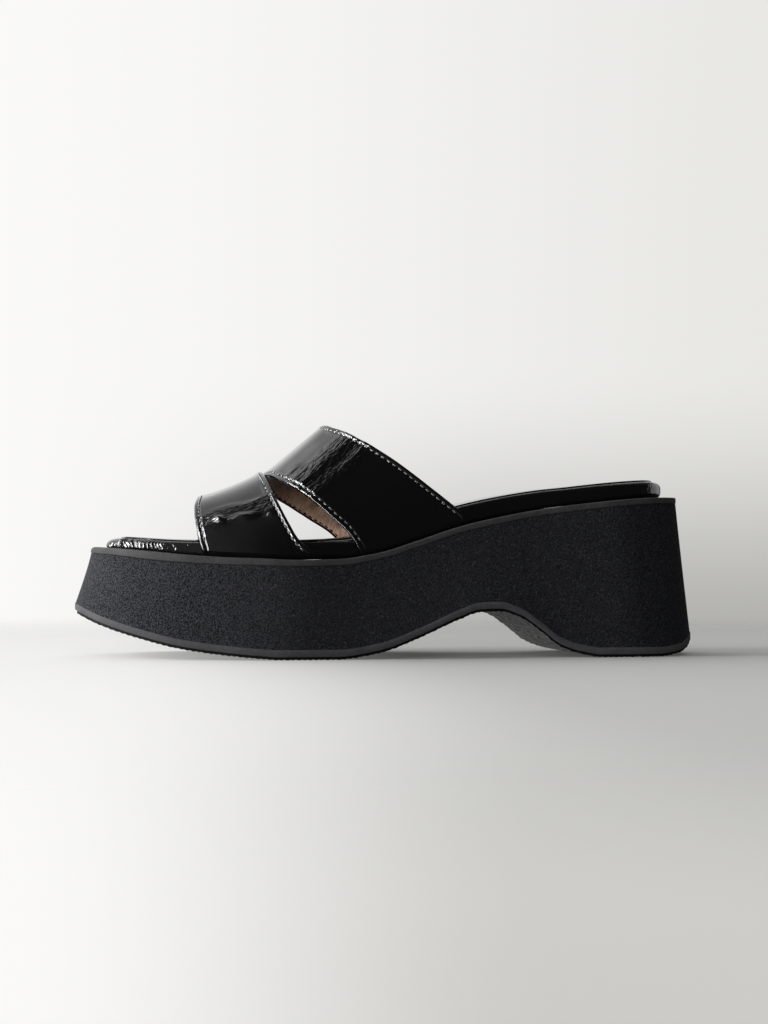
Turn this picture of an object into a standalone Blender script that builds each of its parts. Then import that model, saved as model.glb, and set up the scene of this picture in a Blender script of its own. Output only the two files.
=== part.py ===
"""A left platform mule: two joined patent bands over a padded footbed on a foam platform.

X runs from the toe (negative) to the heel, Y from the outer side (negative) to the inner side,
and Z up from the floor. Sizes are in millimetres and become metres where the meshes are made.
"""
import math
from collections import namedtuple

import bmesh
import bpy
import numpy as np

METRE = 0.001
GAP = 0.3
SHARP_ANGLE = 35.0

# Layer thicknesses
TREAD_EDGE_HEIGHT = 1.2
TREAD_EDGE_SETBACK = 0.5
TREAD_CHAMFER = 0.4
OUTSOLE_THICK = 4.2
OUTSOLE_ROUND = 0.5
WELT_THICK = 2.8
WELT_ROUND = 0.5
WELT_PROUD = 0.4
PAD_ROUND = 2.8
PAD_ROUND_STEPS = 4
PAD_FOOT_ROUND = 2.4

# Rounded ends of the plan outline
TOE_ROUND = 52.0
TOE_POWER = 2.3
HEEL_ROUND = 40.0
HEEL_POWER = 2.2
TOE_STEPS = 10
SIDE_STEPS = 34
HEEL_STEPS = 9

# Flare of the foam wall: height share to the power of this, at the toe and at the heel
FLARE_TOE = 1.4
FLARE_HEEL = 1.05
WALL_STEPS = 8

# Plan levels: where toe and heel end, and how far the sides stand in from the floor outline
Level = namedtuple("Level", "toe heel side_inset")
FLOOR_LEVEL = Level(-135.1, 135.1, 0.0)
DECK_LEVEL = Level(-128.4, 128.9, 3.0)
PAD_LEVEL = Level(-121.5, 122.4, 8.0)

# Plan sections by share of the length from the toe: swing of the middle to the inner side, half width
Plan = namedtuple("Plan", "share swing half_width")
PLAN = (
    Plan(0.00, 9.0, 44.0),
    Plan(0.12, 6.5, 46.0),
    Plan(0.30, 1.5, 49.5),
    Plan(0.45, -1.0, 44.5),
    Plan(0.60, -2.5, 39.5),
    Plan(0.75, -1.5, 37.5),
    Plan(0.90, 0.0, 38.0),
    Plan(1.00, 0.0, 38.0),
)

# Height of the tread above the floor: toe spring, forefoot rest, arch, heel rest, heel bevel
Tread = namedtuple("Tread", "x height")
TREAD = (
    Tread(-135.1, 18.9),
    Tread(-124.5, 14.0),
    Tread(-104.0, 7.5),
    Tread(-92.0, 4.6),
    Tread(-75.0, 2.1),
    Tread(-60.0, 0.6),
    Tread(-51.0, 0.0),
    Tread(-27.0, 0.0),
    Tread(-9.0, 2.6),
    Tread(8.0, 8.8),
    Tread(25.5, 16.5),
    Tread(34.0, 19.3),
    Tread(42.5, 19.6),
    Tread(51.5, 17.0),
    Tread(60.3, 11.2),
    Tread(69.4, 4.4),
    Tread(77.5, 1.6),
    Tread(88.0, 0.0),
    Tread(114.0, 0.0),
    Tread(124.0, 1.2),
    Tread(135.1, 6.2),
)

# Height of the platform's top and thickness of the footbed on it
Deck = namedtuple("Deck", "x height pad")
DECK = (
    Deck(-128.4, 47.2, 4.6),
    Deck(-104.0, 45.2, 4.8),
    Deck(-91.6, 44.0, 5.3),
    Deck(-75.3, 42.8, 6.4),
    Deck(-59.0, 42.1, 7.6),
    Deck(-42.4, 41.4, 8.3),
    Deck(-25.6, 41.8, 8.5),
    Deck(-8.5, 44.5, 8.6),
    Deck(8.7, 49.8, 8.6),
    Deck(26.0, 55.5, 8.5),
    Deck(43.5, 59.6, 8.3),
    Deck(61.1, 62.9, 7.9),
    Deck(78.8, 65.3, 7.4),
    Deck(96.5, 67.2, 7.4),
    Deck(110.7, 68.3, 7.4),
    Deck(128.9, 69.0, 7.2),
)

# Bands of the upper
WALL = 2.0
PAD_CLEARANCE = 0.5
LAP_LIFT = 1.2
LAP_ANGLE = 55.0
TUCK = 1.6
TUCK_RISE = 3.0
PROBE = 0.5
BAND_AROUND = 44
BASE_CROWDING = 1.3
FRONT_ACROSS = 12
REAR_ACROSS = 12

# Ridge of the foot form the bands are pulled over, in the middle plane of their wall,
# and how square its cross section is (1 is an ellipse, less is squarer)
Ridge = namedtuple("Ridge", "x height squareness")
RIDGE = (
    Ridge(-92.0, 65.4, 0.86),
    Ridge(-80.4, 68.4, 0.86),
    Ridge(-67.4, 72.2, 0.87),
    Ridge(-57.1, 76.4, 0.88),
    Ridge(-51.8, 79.6, 0.89),
    Ridge(-41.4, 88.0, 0.91),
    Ridge(-31.0, 96.8, 0.94),
    Ridge(0.0, 119.0, 0.98),
    Ridge(36.0, 136.0, 1.0),
)

# Edges of the two bands along the length, by share of the rise from the deck to the ridge;
# the inner side has its own toe edges
Edges = namedtuple("Edges", "rise front_toe front_heel rear_toe rear_heel front_toe_inner rear_toe_inner")
EDGES = (
    Edges(0.00, -81.6, -35.2, -16.0, 30.6, -78.1, -13.0),
    Edges(0.05, -82.2, -40.0, -18.6, 26.3, -78.7, -15.9),
    Edges(0.10, -82.8, -43.1, -21.8, 21.0, -79.3, -19.8),
    Edges(0.20, -83.4, -46.7, -29.8, 10.9, -79.9, -30.3),
    Edges(0.30, -83.8, -49.2, -36.2, 1.7, -80.4, -38.3),
    Edges(0.45, -84.0, -51.8, -43.6, -10.2, -80.8, -46.4),
    Edges(0.60, -83.6, -53.3, -48.9, -19.0, -81.0, -50.0),
    Edges(0.80, -82.0, -54.3, -53.0, -25.9, -81.0, -53.2),
    Edges(1.00, -80.6, -54.2, -59.5, -28.2, -80.6, -59.5),
)


def smooth_curve(rows, value):
    """Monotone cubic through one column of a table, over the table's first column."""
    xs = np.array([row[0] for row in rows], float)
    ys = np.array([getattr(row, value) for row in rows], float)
    step = np.diff(xs)
    slope = np.diff(ys) / step
    tangent = np.zeros_like(ys)
    tangent[0] = slope[0]
    tangent[-1] = slope[-1]
    for i in range(1, len(xs) - 1):
        before, after = slope[i - 1], slope[i]
        if before * after > 0.0:
            left = 2.0 * step[i] + step[i - 1]
            right = step[i] + 2.0 * step[i - 1]
            tangent[i] = (left + right) / (left / before + right / after)

    def at(x):
        x = np.clip(x, xs[0], xs[-1])
        i = np.clip(np.searchsorted(xs, x) - 1, 0, len(xs) - 2)
        t = (x - xs[i]) / step[i]
        start = (1.0 + 2.0 * t) * (1.0 - t) ** 2 * ys[i] + t * (1.0 - t) ** 2 * step[i] * tangent[i]
        end = t * t * (3.0 - 2.0 * t) * ys[i + 1] - t * t * (1.0 - t) * step[i] * tangent[i + 1]
        return start + end

    return at


swing_at = smooth_curve(PLAN, "swing")
half_width_at = smooth_curve(PLAN, "half_width")
tread_at = smooth_curve(TREAD, "height")
deck_at = smooth_curve(DECK, "height")
pad_at = smooth_curve(DECK, "pad")
ridge_at = smooth_curve(RIDGE, "height")
squareness_at = smooth_curve(RIDGE, "squareness")
edge_at = {name: smooth_curve(EDGES, name) for name in Edges._fields[1:]}


def stations(toe, heel):
    """Places along the length, close together at the round ends."""
    turn_toe = np.linspace(0.0, math.pi / 2, TOE_STEPS + 1)
    turn_heel = np.linspace(math.pi / 2, 0.0, HEEL_STEPS + 1)
    front = toe + TOE_ROUND * (1.0 - np.cos(turn_toe))
    back = heel - HEEL_ROUND * (1.0 - np.cos(turn_heel))
    side = np.linspace(front[-1], back[0], SIDE_STEPS + 1)
    return np.concatenate([front, side[1:-1], back])


def end_round(distance, reach, power):
    """Share of the full width at a distance from a round end."""
    away = 1.0 - np.clip(distance / reach, 0.0, 1.0)
    return (1.0 - away ** power) ** (1.0 / power)


def edge_pair(x, level, inset=0.0):
    """Outer and inner edge of the plan at places x."""
    toe = level.toe + inset
    heel = level.heel - inset
    share = np.clip((x - toe) / (heel - toe), 0.0, 1.0)
    half = half_width_at(share) - level.side_inset - inset
    half = half * end_round(x - toe, TOE_ROUND, TOE_POWER) * end_round(heel - x, HEEL_ROUND, HEEL_POWER)
    middle = swing_at(share)
    return middle - half, middle + half


def outline(level, inset=0.0):
    """Places along the length with the outer and inner edge at each."""
    x = stations(level.toe + inset, level.heel - inset)
    outer, inner = edge_pair(x, level, inset)
    return x, outer, inner


def centre_shift():
    """How far the plan is moved sideways so that its widest reach is even about X."""
    _, outer, inner = outline(FLOOR_LEVEL)
    return -0.5 * (outer.min() + inner.max())


SIDE_SHIFT = centre_shift()


def paint(name, color, roughness):
    """A Principled material with one colour."""
    material = bpy.data.materials.new(name)
    material.use_nodes = True
    shader = material.node_tree.nodes["Principled BSDF"]
    shader.inputs["Base Color"].default_value = (*color, 1.0)
    shader.inputs["Roughness"].default_value = roughness
    shader.inputs["Metallic"].default_value = 0.0
    return material


def make_object(name, points, faces, material):
    """A mesh object in metres with its faces pointing out."""
    builder = bmesh.new()
    shift = np.array([0.0, SIDE_SHIFT, 0.0])
    verts = [builder.verts.new(tuple((np.asarray(p) + shift) * METRE)) for p in points]
    for face in faces:
        builder.faces.new([verts[i] for i in face])
    bmesh.ops.recalc_face_normals(builder, faces=builder.faces)
    mesh = bpy.data.meshes.new(name)
    builder.to_mesh(mesh)
    builder.free()
    mesh.shade_smooth()
    mesh.set_sharp_from_angle(angle=math.radians(SHARP_ANGLE))
    mesh.materials.append(material)
    item = bpy.data.objects.new(name, mesh)
    bpy.context.scene.collection.objects.link(item)
    return item


def loft(name, rings, material):
    """A closed solid through rings from bottom to top; each ring is x, outer, inner, z arrays."""
    last = len(rings[0][0]) - 1
    size = 2 * last
    points = []
    for x, outer, inner, z in rings:
        points += [(x[i], outer[i], z[i]) for i in range(last + 1)]
        points += [(x[i], inner[i], z[i]) for i in range(last - 1, 0, -1)]
    faces = []
    for r in range(len(rings) - 1):
        for i in range(size):
            j = (i + 1) % size
            faces.append((r * size + i, r * size + j, (r + 1) * size + j, (r + 1) * size + i))

    def cap(base):
        for i in range(last):
            strip = [i, i + 1, (size - i - 1) % size, (size - i) % size]
            yield [base + k for k in dict.fromkeys(strip)]

    faces += [tuple(reversed(strip)) for strip in cap(0)]
    faces += [tuple(strip) for strip in cap((len(rings) - 1) * size)]
    return make_object(name, points, faces, material)


def blend_rings(low, high, share):
    """Plan between two outlines, share 0 at low and 1 at high, one share for each station."""
    return tuple(a + (b - a) * share for a, b in zip(low, high))


def build_outsole(material):
    rings = []
    steps = (
        (TREAD_EDGE_SETBACK + TREAD_CHAMFER, 0.0),
        (TREAD_EDGE_SETBACK, TREAD_CHAMFER),
        (TREAD_EDGE_SETBACK, TREAD_EDGE_HEIGHT),
        (0.0, TREAD_EDGE_HEIGHT + TREAD_CHAMFER),
        (0.0, OUTSOLE_THICK - OUTSOLE_ROUND),
        (OUTSOLE_ROUND, OUTSOLE_THICK),
    )
    for inset, rise in steps:
        x, outer, inner = outline(FLOOR_LEVEL, inset)
        rings.append((x, outer, inner, tread_at(x) + rise))
    return loft("outsole", rings, material)


def build_midsole(material):
    low = outline(FLOOR_LEVEL, OUTSOLE_ROUND)
    high = outline(DECK_LEVEL, WELT_PROUD)
    floor_z = tread_at(low[0]) + OUTSOLE_THICK + GAP
    deck_z = deck_at(high[0]) - WELT_THICK - GAP
    along = np.linspace(0.0, 1.0, len(floor_z))
    power = FLARE_TOE + (FLARE_HEEL - FLARE_TOE) * along
    rings = []
    for step in range(WALL_STEPS + 1):
        up = step / WALL_STEPS
        inward = 1.0 - (1.0 - up) ** power
        x, outer, inner = blend_rings(low, high, inward)
        rings.append((x, outer, inner, floor_z + (deck_z - floor_z) * up))
    return loft("midsole", rings, material)


def build_welt(material):
    rings = []
    steps = (
        (WELT_ROUND, -WELT_THICK),
        (0.0, WELT_ROUND - WELT_THICK),
        (0.0, -WELT_ROUND),
        (WELT_ROUND, 0.0),
    )
    for inset, rise in steps:
        x, outer, inner = outline(DECK_LEVEL, inset)
        rings.append((x, outer, inner, deck_at(x) + rise))
    return loft("welt", rings, material)


def build_insole(material):
    rings = []
    x, outer, inner = outline(PAD_LEVEL, PAD_FOOT_ROUND)
    rings.append((x, outer, inner, deck_at(x) + GAP))
    x, outer, inner = outline(PAD_LEVEL)
    rings.append((x, outer, inner, deck_at(x) + GAP + PAD_FOOT_ROUND))
    for turn in np.linspace(0.0, math.pi / 2, PAD_ROUND_STEPS + 1):
        x, outer, inner = outline(PAD_LEVEL, PAD_ROUND * (1.0 - math.cos(turn)))
        rise = pad_at(x) - PAD_ROUND * (1.0 - math.sin(turn))
        rings.append((x, outer, inner, deck_at(x) + rise))
    return loft("insole", rings, material)


def foot_form(x, angle, tuck=0.0):
    """Middle plane of the bands: 0 degrees is the deck on the outer side, 90 the ridge, 180 the inner side.

    The last few millimetres above the deck turn in by tuck, toward the footbed's rounded foot.
    """
    outer, inner = edge_pair(x, PAD_LEVEL)
    middle = 0.5 * (outer + inner)
    reach = 0.5 * (inner - outer) + PAD_CLEARANCE + 0.5 * WALL
    base = deck_at(x) + GAP
    power = squareness_at(x)
    turn = np.radians(angle)
    across = np.cos(turn)
    y = middle - reach * np.sign(across) * np.abs(across) ** power
    z = base + (ridge_at(x) - base) * np.clip(np.sin(turn), 0.0, 1.0) ** power
    y = y + np.sign(across) * tuck * np.clip(1.0 - (z - base) / TUCK_RISE, 0.0, 1.0) ** 2
    return np.stack([x, y, z], axis=-1)


def form_normal(x, angle):
    """Unit normals of the foot form, pointing out."""
    along = foot_form(x + PROBE, angle) - foot_form(x - PROBE, angle)
    around = foot_form(x, np.minimum(angle + PROBE, 180.0)) - foot_form(x, np.maximum(angle - PROBE, 0.0))
    normal = np.cross(along, around)
    return normal / np.linalg.norm(normal, axis=-1, keepdims=True)


def band_grid(toe_edge, heel_edge, across_steps):
    """Places and angles of a band's grid: rows around the foot, columns from toe edge to heel edge."""
    around = np.linspace(-1.0, 1.0, BAND_AROUND + 1)
    rise = (1.0 - np.abs(around)) ** BASE_CROWDING
    angle = 90.0 + 90.0 * np.sign(around) * (1.0 - rise)
    front = np.where(around > 0.0, edge_at[toe_edge + "_inner"](rise), edge_at[toe_edge](rise))[:, None]
    back = edge_at[heel_edge](rise)[:, None]
    share = np.linspace(0.0, 1.0, across_steps + 1)[None, :]
    return front + (back - front) * share, np.repeat(angle[:, None], across_steps + 1, axis=1), share


def lap_lift(angle, share):
    """How far the front band rises over the rear band: most at its heel edge on the ridge."""
    near_ridge = np.clip(1.0 - np.abs(angle - 90.0) / LAP_ANGLE, 0.0, 1.0)
    toward_lap = np.clip(share, 0.0, 1.0)
    return LAP_LIFT * near_ridge ** 2 * (3.0 - 2.0 * near_ridge) * toward_lap ** 2 * (3.0 - 2.0 * toward_lap)


def band(name, grid, lift, material):
    """A closed wall of the band's thickness over a grid on the foot form."""
    x, angle, _ = grid
    middle = foot_form(x, angle, TUCK)
    normal = form_normal(x, angle)
    outer = middle + normal * (lift + 0.5 * WALL)[..., None]
    inner = middle + normal * (lift - 0.5 * WALL)[..., None]
    rows, columns = x.shape
    points = np.concatenate([outer.reshape(-1, 3), inner.reshape(-1, 3)])
    half = rows * columns
    faces = []
    for r in range(rows - 1):
        for c in range(columns - 1):
            a = r * columns + c
            b = a + columns
            faces.append((a, a + 1, b + 1, b))
            faces.append((half + a, half + b, half + b + 1, half + a + 1))
    rim = [c for c in range(columns)]
    rim += [r * columns + columns - 1 for r in range(1, rows)]
    rim += [(rows - 1) * columns + c for c in range(columns - 2, -1, -1)]
    rim += [r * columns for r in range(rows - 2, 0, -1)]
    for k, a in enumerate(rim):
        b = rim[(k + 1) % len(rim)]
        faces.append((a, half + a, half + b, b))
    return make_object(name, points, faces, material)


def build_upper(material):
    front_grid = band_grid("front_toe", "front_heel", FRONT_ACROSS)
    rear_grid = band_grid("rear_toe", "rear_heel", REAR_ACROSS)
    upper = band("upper", front_grid, lap_lift(front_grid[1], front_grid[2]), material)
    rear = band("rear_band_form", rear_grid, np.zeros_like(rear_grid[0]), material)
    rear.hide_render = True
    rear.display_type = "WIRE"
    join = upper.modifiers.new("join", "BOOLEAN")
    join.operation = "UNION"
    join.object = rear
    return upper


for old in list(bpy.data.objects):
    bpy.data.objects.remove(old, do_unlink=True)

build_outsole(paint("rubber", (0.055, 0.055, 0.057), 0.6))
build_midsole(paint("foam", (0.022, 0.022, 0.025), 0.8))
build_welt(paint("welt_rubber", (0.050, 0.050, 0.052), 0.55))
build_insole(paint("patent_pad", (0.008, 0.008, 0.008), 0.2))
build_upper(paint("patent", (0.008, 0.008, 0.008), 0.15))
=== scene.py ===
# %% [markdown]
# # A platform mule in patent leather
# This lesson dresses the plain solids of a left platform mule: a wavy foam platform on a rubber
# outsole, a thin rubber welt, a padded footbed and two joined patent bands with a brown lining.
# Every piece is worked out again here from the same few tables as the solids, only finer, so the
# dressed shoe fills the same space. X runs from toe to heel, Y to the inner side, Z up.

# %% Load the frame
import math
from collections import namedtuple

import bpy
import numpy as np
from mathutils import Matrix, Vector, noise


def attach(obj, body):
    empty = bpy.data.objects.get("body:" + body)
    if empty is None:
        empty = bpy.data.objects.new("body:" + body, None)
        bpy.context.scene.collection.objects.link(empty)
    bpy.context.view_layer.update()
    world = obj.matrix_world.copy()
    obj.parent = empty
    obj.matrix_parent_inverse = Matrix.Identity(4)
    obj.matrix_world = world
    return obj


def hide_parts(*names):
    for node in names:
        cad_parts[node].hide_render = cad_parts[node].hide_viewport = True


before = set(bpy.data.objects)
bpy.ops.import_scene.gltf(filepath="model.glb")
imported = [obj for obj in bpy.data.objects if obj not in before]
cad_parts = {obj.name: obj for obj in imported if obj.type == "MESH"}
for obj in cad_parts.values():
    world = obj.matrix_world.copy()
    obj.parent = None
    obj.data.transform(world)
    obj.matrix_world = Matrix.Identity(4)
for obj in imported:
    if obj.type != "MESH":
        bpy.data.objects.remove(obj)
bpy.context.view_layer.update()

MM = 0.001

# %% [markdown]
# ## Tables of the shoe
# A shoemaker reads a last as a row of sections. Each table below holds such rows: the plan of the
# sole, the line of the tread, the line of the deck with the footbed's thickness, the ridge of the
# foot form under the bands, and the edges of the bands. A monotone cubic joins the rows, because it
# never overshoots, so flat rests stay flat and the arch has one clean peak.

# %% Section tables in millimetres
Level = namedtuple("Level", "toe heel side_inset")
FLOOR_LEVEL = Level(-135.1, 135.1, 0.0)
DECK_LEVEL = Level(-128.4, 128.9, 3.0)
PAD_LEVEL = Level(-121.5, 122.4, 8.0)

Plan = namedtuple("Plan", "share swing half_width")
PLAN = (
    Plan(0.00, 9.0, 44.0), Plan(0.12, 6.5, 46.0), Plan(0.30, 1.5, 49.5), Plan(0.45, -1.0, 44.5),
    Plan(0.60, -2.5, 39.5), Plan(0.75, -1.5, 37.5), Plan(0.90, 0.0, 38.0), Plan(1.00, 0.0, 38.0),
)

Tread = namedtuple("Tread", "x height")
TREAD = (
    Tread(-135.1, 18.9), Tread(-124.5, 14.0), Tread(-104.0, 7.5), Tread(-92.0, 4.6),
    Tread(-75.0, 2.1), Tread(-60.0, 0.6), Tread(-51.0, 0.0), Tread(-27.0, 0.0),
    Tread(-9.0, 2.6), Tread(8.0, 8.8), Tread(25.5, 16.5), Tread(34.0, 19.3),
    Tread(42.5, 19.6), Tread(51.5, 17.0), Tread(60.3, 11.2), Tread(69.4, 4.4),
    Tread(77.5, 1.6), Tread(88.0, 0.0), Tread(114.0, 0.0), Tread(124.0, 1.2), Tread(135.1, 6.2),
)

Deck = namedtuple("Deck", "x height pad welt")
DECK = (
    Deck(-128.4, 47.2, 4.6, 2.8), Deck(-117.0, 46.3, 4.7, 3.2), Deck(-104.0, 45.1, 4.9, 3.7),
    Deck(-91.6, 43.8, 5.5, 3.5), Deck(-75.3, 42.6, 6.4, 3.2), Deck(-59.0, 42.0, 7.2, 3.0),
    Deck(-42.4, 41.4, 7.7, 2.8), Deck(-25.6, 41.8, 7.9, 2.8), Deck(-8.5, 44.5, 8.2, 2.8),
    Deck(8.7, 49.8, 8.6, 2.8), Deck(26.0, 55.5, 8.5, 2.8), Deck(43.5, 59.6, 8.3, 2.8),
    Deck(61.1, 62.9, 7.9, 2.8), Deck(78.8, 65.3, 7.4, 2.8), Deck(96.5, 67.2, 7.4, 2.8),
    Deck(110.7, 68.3, 7.4, 2.8), Deck(128.9, 69.0, 7.2, 2.8),
)

Ridge = namedtuple("Ridge", "x height squareness")
RIDGE = (
    Ridge(-92.0, 65.4, 0.86), Ridge(-80.4, 68.4, 0.86), Ridge(-67.4, 72.2, 0.87),
    Ridge(-57.1, 76.4, 0.88), Ridge(-51.8, 79.6, 0.89), Ridge(-41.4, 88.0, 0.91),
    Ridge(-31.0, 96.8, 0.94), Ridge(0.0, 119.0, 0.98), Ridge(36.0, 136.0, 1.0),
)

Edges = namedtuple("Edges", "rise front_toe front_heel rear_toe rear_heel front_toe_inner rear_toe_inner")
EDGES = (
    Edges(0.00, -81.6, -32.8, -16.0, 30.6, -78.1, -13.0),
    Edges(0.05, -82.2, -39.2, -18.6, 26.3, -78.7, -15.9),
    Edges(0.10, -82.9, -43.1, -21.8, 21.0, -79.4, -19.8),
    Edges(0.20, -83.9, -46.7, -29.8, 10.9, -80.3, -30.3),
    Edges(0.30, -84.5, -49.2, -36.2, 1.7, -80.9, -38.3),
    Edges(0.45, -84.9, -51.8, -43.6, -10.2, -81.4, -46.4),
    Edges(0.60, -84.7, -53.3, -48.9, -19.0, -81.8, -50.0),
    Edges(0.80, -83.4, -54.3, -53.0, -25.9, -82.1, -53.2),
    Edges(1.00, -82.2, -54.2, -59.5, -28.2, -82.2, -59.5),
)
print(len(PLAN), "rows in the plan,", len(TREAD), "in the tread line,", len(DECK), "in the deck line")

# %% Curve through a table
def smooth_curve(rows, value):
    """Monotone cubic through one column of a table, over the table's first column."""
    xs = np.array([row[0] for row in rows], float)
    ys = np.array([getattr(row, value) for row in rows], float)
    step = np.diff(xs)
    slope = np.diff(ys) / step
    tangent = np.zeros_like(ys)
    tangent[0], tangent[-1] = slope[0], slope[-1]
    for i in range(1, len(xs) - 1):
        before, after = slope[i - 1], slope[i]
        if before * after > 0.0:
            left = 2.0 * step[i] + step[i - 1]
            right = step[i] + 2.0 * step[i - 1]
            tangent[i] = (left + right) / (left / before + right / after)

    def at(x):
        x = np.clip(x, xs[0], xs[-1])
        i = np.clip(np.searchsorted(xs, x) - 1, 0, len(xs) - 2)
        t = (x - xs[i]) / step[i]
        start = (1.0 + 2.0 * t) * (1.0 - t) ** 2 * ys[i] + t * (1.0 - t) ** 2 * step[i] * tangent[i]
        end = t * t * (3.0 - 2.0 * t) * ys[i + 1] - t * t * (1.0 - t) * step[i] * tangent[i + 1]
        return start + end

    return at


swing_at = smooth_curve(PLAN, "swing")
half_width_at = smooth_curve(PLAN, "half_width")
tread_at = smooth_curve(TREAD, "height")
deck_at = smooth_curve(DECK, "height")
pad_at = smooth_curve(DECK, "pad")
welt_at = smooth_curve(DECK, "welt")
ridge_at = smooth_curve(RIDGE, "height")
squareness_at = smooth_curve(RIDGE, "squareness")
edge_at = {name: smooth_curve(EDGES, name) for name in Edges._fields[1:]}
ARCH_X = 42.5
print("arch peak above the floor:", round(float(tread_at(np.array(ARCH_X))), 1), "mm")

# %% [markdown]
# ## Plan outline
# A sole's outline is a middle line that swings to the inner side at the toe, with a half width on
# both sides and two round ends. Stations crowd together at the ends, as rows of a net do on a ball.
# The same outline, moved in or out, gives every layer of the platform and the footbed.

# %% Outline functions
TOE_ROUND, TOE_POWER = 52.0, 2.3
HEEL_ROUND, HEEL_POWER = 40.0, 2.2
GAP = 0.3


def smoothstep(value):
    value = np.clip(value, 0.0, 1.0)
    return value * value * (3.0 - 2.0 * value)


def stations(toe, heel, toe_steps, side_steps, heel_steps):
    """Places along the length, close together at the round ends."""
    front = toe + TOE_ROUND * (1.0 - np.cos(np.linspace(0.0, math.pi / 2, toe_steps + 1)))
    back = heel - HEEL_ROUND * (1.0 - np.cos(np.linspace(math.pi / 2, 0.0, heel_steps + 1)))
    side = np.linspace(front[-1], back[0], side_steps + 1)
    return np.concatenate([front, side[1:-1], back])


def end_round(distance, reach, power):
    away = 1.0 - np.clip(distance / reach, 0.0, 1.0)
    return (1.0 - away ** power) ** (1.0 / power)


def edge_pair(x, level, inset=0.0):
    """Outer and inner edge of the plan at places x."""
    toe, heel = level.toe + inset, level.heel - inset
    share = np.clip((x - toe) / (heel - toe), 0.0, 1.0)
    half = half_width_at(share) - level.side_inset - inset
    half = half * end_round(x - toe, TOE_ROUND, TOE_POWER) * end_round(heel - x, HEEL_ROUND, HEEL_POWER)
    middle = swing_at(share) + SIDE_SHIFT
    return middle - half, middle + half


def outline(level, inset, steps):
    x = stations(level.toe + inset, level.heel - inset, *steps)
    return (x, *edge_pair(x, level, inset))


SOLID_STEPS = (10, 34, 9)
SIDE_SHIFT = 0.0
_, outer_reach, inner_reach = outline(FLOOR_LEVEL, 0.0, SOLID_STEPS)
SIDE_SHIFT = -0.5 * (outer_reach.min() + inner_reach.max())
print("plan moved sideways by", round(float(SIDE_SHIFT), 2), "mm to sit evenly about X")

# %% [markdown]
# ## From arrays to pieces
# All pieces are meshes made from arrays: a grid of points and the faces between them. One helper
# turns millimetres to metres, checks by the signed volume that the faces point out, shades the
# piece smooth, and hangs it on the shoe. Many small things, such as stitches, are joined into one
# mesh in the same way, because one object is lighter than hundreds.

# %% Mesh helpers
SHARP = math.radians(40.0)


def signed_volume(points, faces):
    """Six times the volume inside the faces, negative if they point in."""
    total = 0.0
    for size in sorted({len(face) for face in faces}):
        block = np.array([face for face in faces if len(face) == size])
        first = points[block[:, 0]]
        for k in range(1, size - 1):
            cross = np.cross(points[block[:, k]], points[block[:, k + 1]])
            total += float(np.einsum("ij,ij->", first, cross))
    return total


def make_piece(name, points, faces, node, slot, marks=None):
    """A smooth mesh object from millimetre points, riding on the shoe in place of a solid."""
    points = np.asarray(points, float)
    if signed_volume(points, faces) < 0.0:
        faces = [tuple(reversed(face)) for face in faces]
    mesh = bpy.data.meshes.new(name)
    mesh.from_pydata((points * MM).tolist(), [], faces)
    for label, values in (marks or {}).items():
        layer = mesh.attributes.new(label, "FLOAT", "POINT")
        layer.data.foreach_set("value", np.asarray(values, np.float32))
    mesh.shade_smooth()
    mesh.set_sharp_from_angle(angle=SHARP)
    piece = bpy.data.objects.new(name, mesh)
    bpy.context.scene.collection.objects.link(piece)
    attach(piece, "root")
    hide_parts(node)
    size = (points.max(axis=0) - points.min(axis=0)).round(1).tolist()
    print(f"{name}: {len(faces)} faces, {size} mm")
    return piece


def ring_points(x, outer, inner, z):
    """One closed ring: along the outer side from toe to heel, then back along the inner side."""
    there = np.stack([x, outer, z], axis=1)
    back = np.stack([x, inner, z], axis=1)[-2:0:-1]
    return np.concatenate([there, back])


def ring_faces(rings, size):
    """Quads between rings that follow each other."""
    here = np.arange(size)
    after = (here + 1) % size
    faces = []
    for r in range(rings - 1):
        low, high = r * size, (r + 1) * size
        faces += np.stack([low + here, low + after, high + after, high + here], axis=1).tolist()
    return [tuple(face) for face in faces]


def cap_faces(base, size):
    """Strips across a ring from its outer to its inner side."""
    last = size // 2
    faces = []
    for i in range(last):
        strip = [i, i + 1, (size - i - 1) % size, (size - i) % size]
        faces.append(tuple(base + k for k in dict.fromkeys(strip)))
    return faces


def loft(rings):
    """Points and faces of a closed solid through rings from bottom to top."""
    size = len(rings[0])
    faces = ring_faces(len(rings), size)
    faces += [tuple(reversed(face)) for face in cap_faces(0, size)]
    faces += cap_faces((len(rings) - 1) * size, size)
    return np.concatenate(rings), faces


# %% [markdown]
# ## Camera
# The photograph looks at the outer side from about eight degrees round toward the toe, with a long
# lens from just above the floor, tilted up a little. The camera is built from those angles and a
# distance, so it keeps its view if the shoe is changed.

# %% Camera
LENS, SENSOR = 72.0, 36.0
YAW, PITCH = math.radians(8.0), math.radians(1.5)
DISTANCE, EYE_HEIGHT, AIM_X = 900.0, 39.0, -0.9

look = Vector((math.sin(YAW) * math.cos(PITCH), math.cos(YAW) * math.cos(PITCH), math.sin(PITCH)))
aim = Vector((AIM_X, 0.0, EYE_HEIGHT + DISTANCE * math.sin(PITCH)))
camera_data = bpy.data.cameras.new("camera")
camera_data.lens, camera_data.sensor_width = LENS, SENSOR
camera = bpy.data.objects.new("camera", camera_data)
camera_turn = look.to_track_quat("-Z", "Y").to_matrix().to_4x4()
camera.matrix_world = Matrix.Translation((aim - look * DISTANCE) * MM) @ camera_turn
bpy.context.scene.collection.objects.link(camera)
bpy.context.scene.camera = camera
print("camera stands", round(camera.location.z / MM), "mm above the floor")

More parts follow.
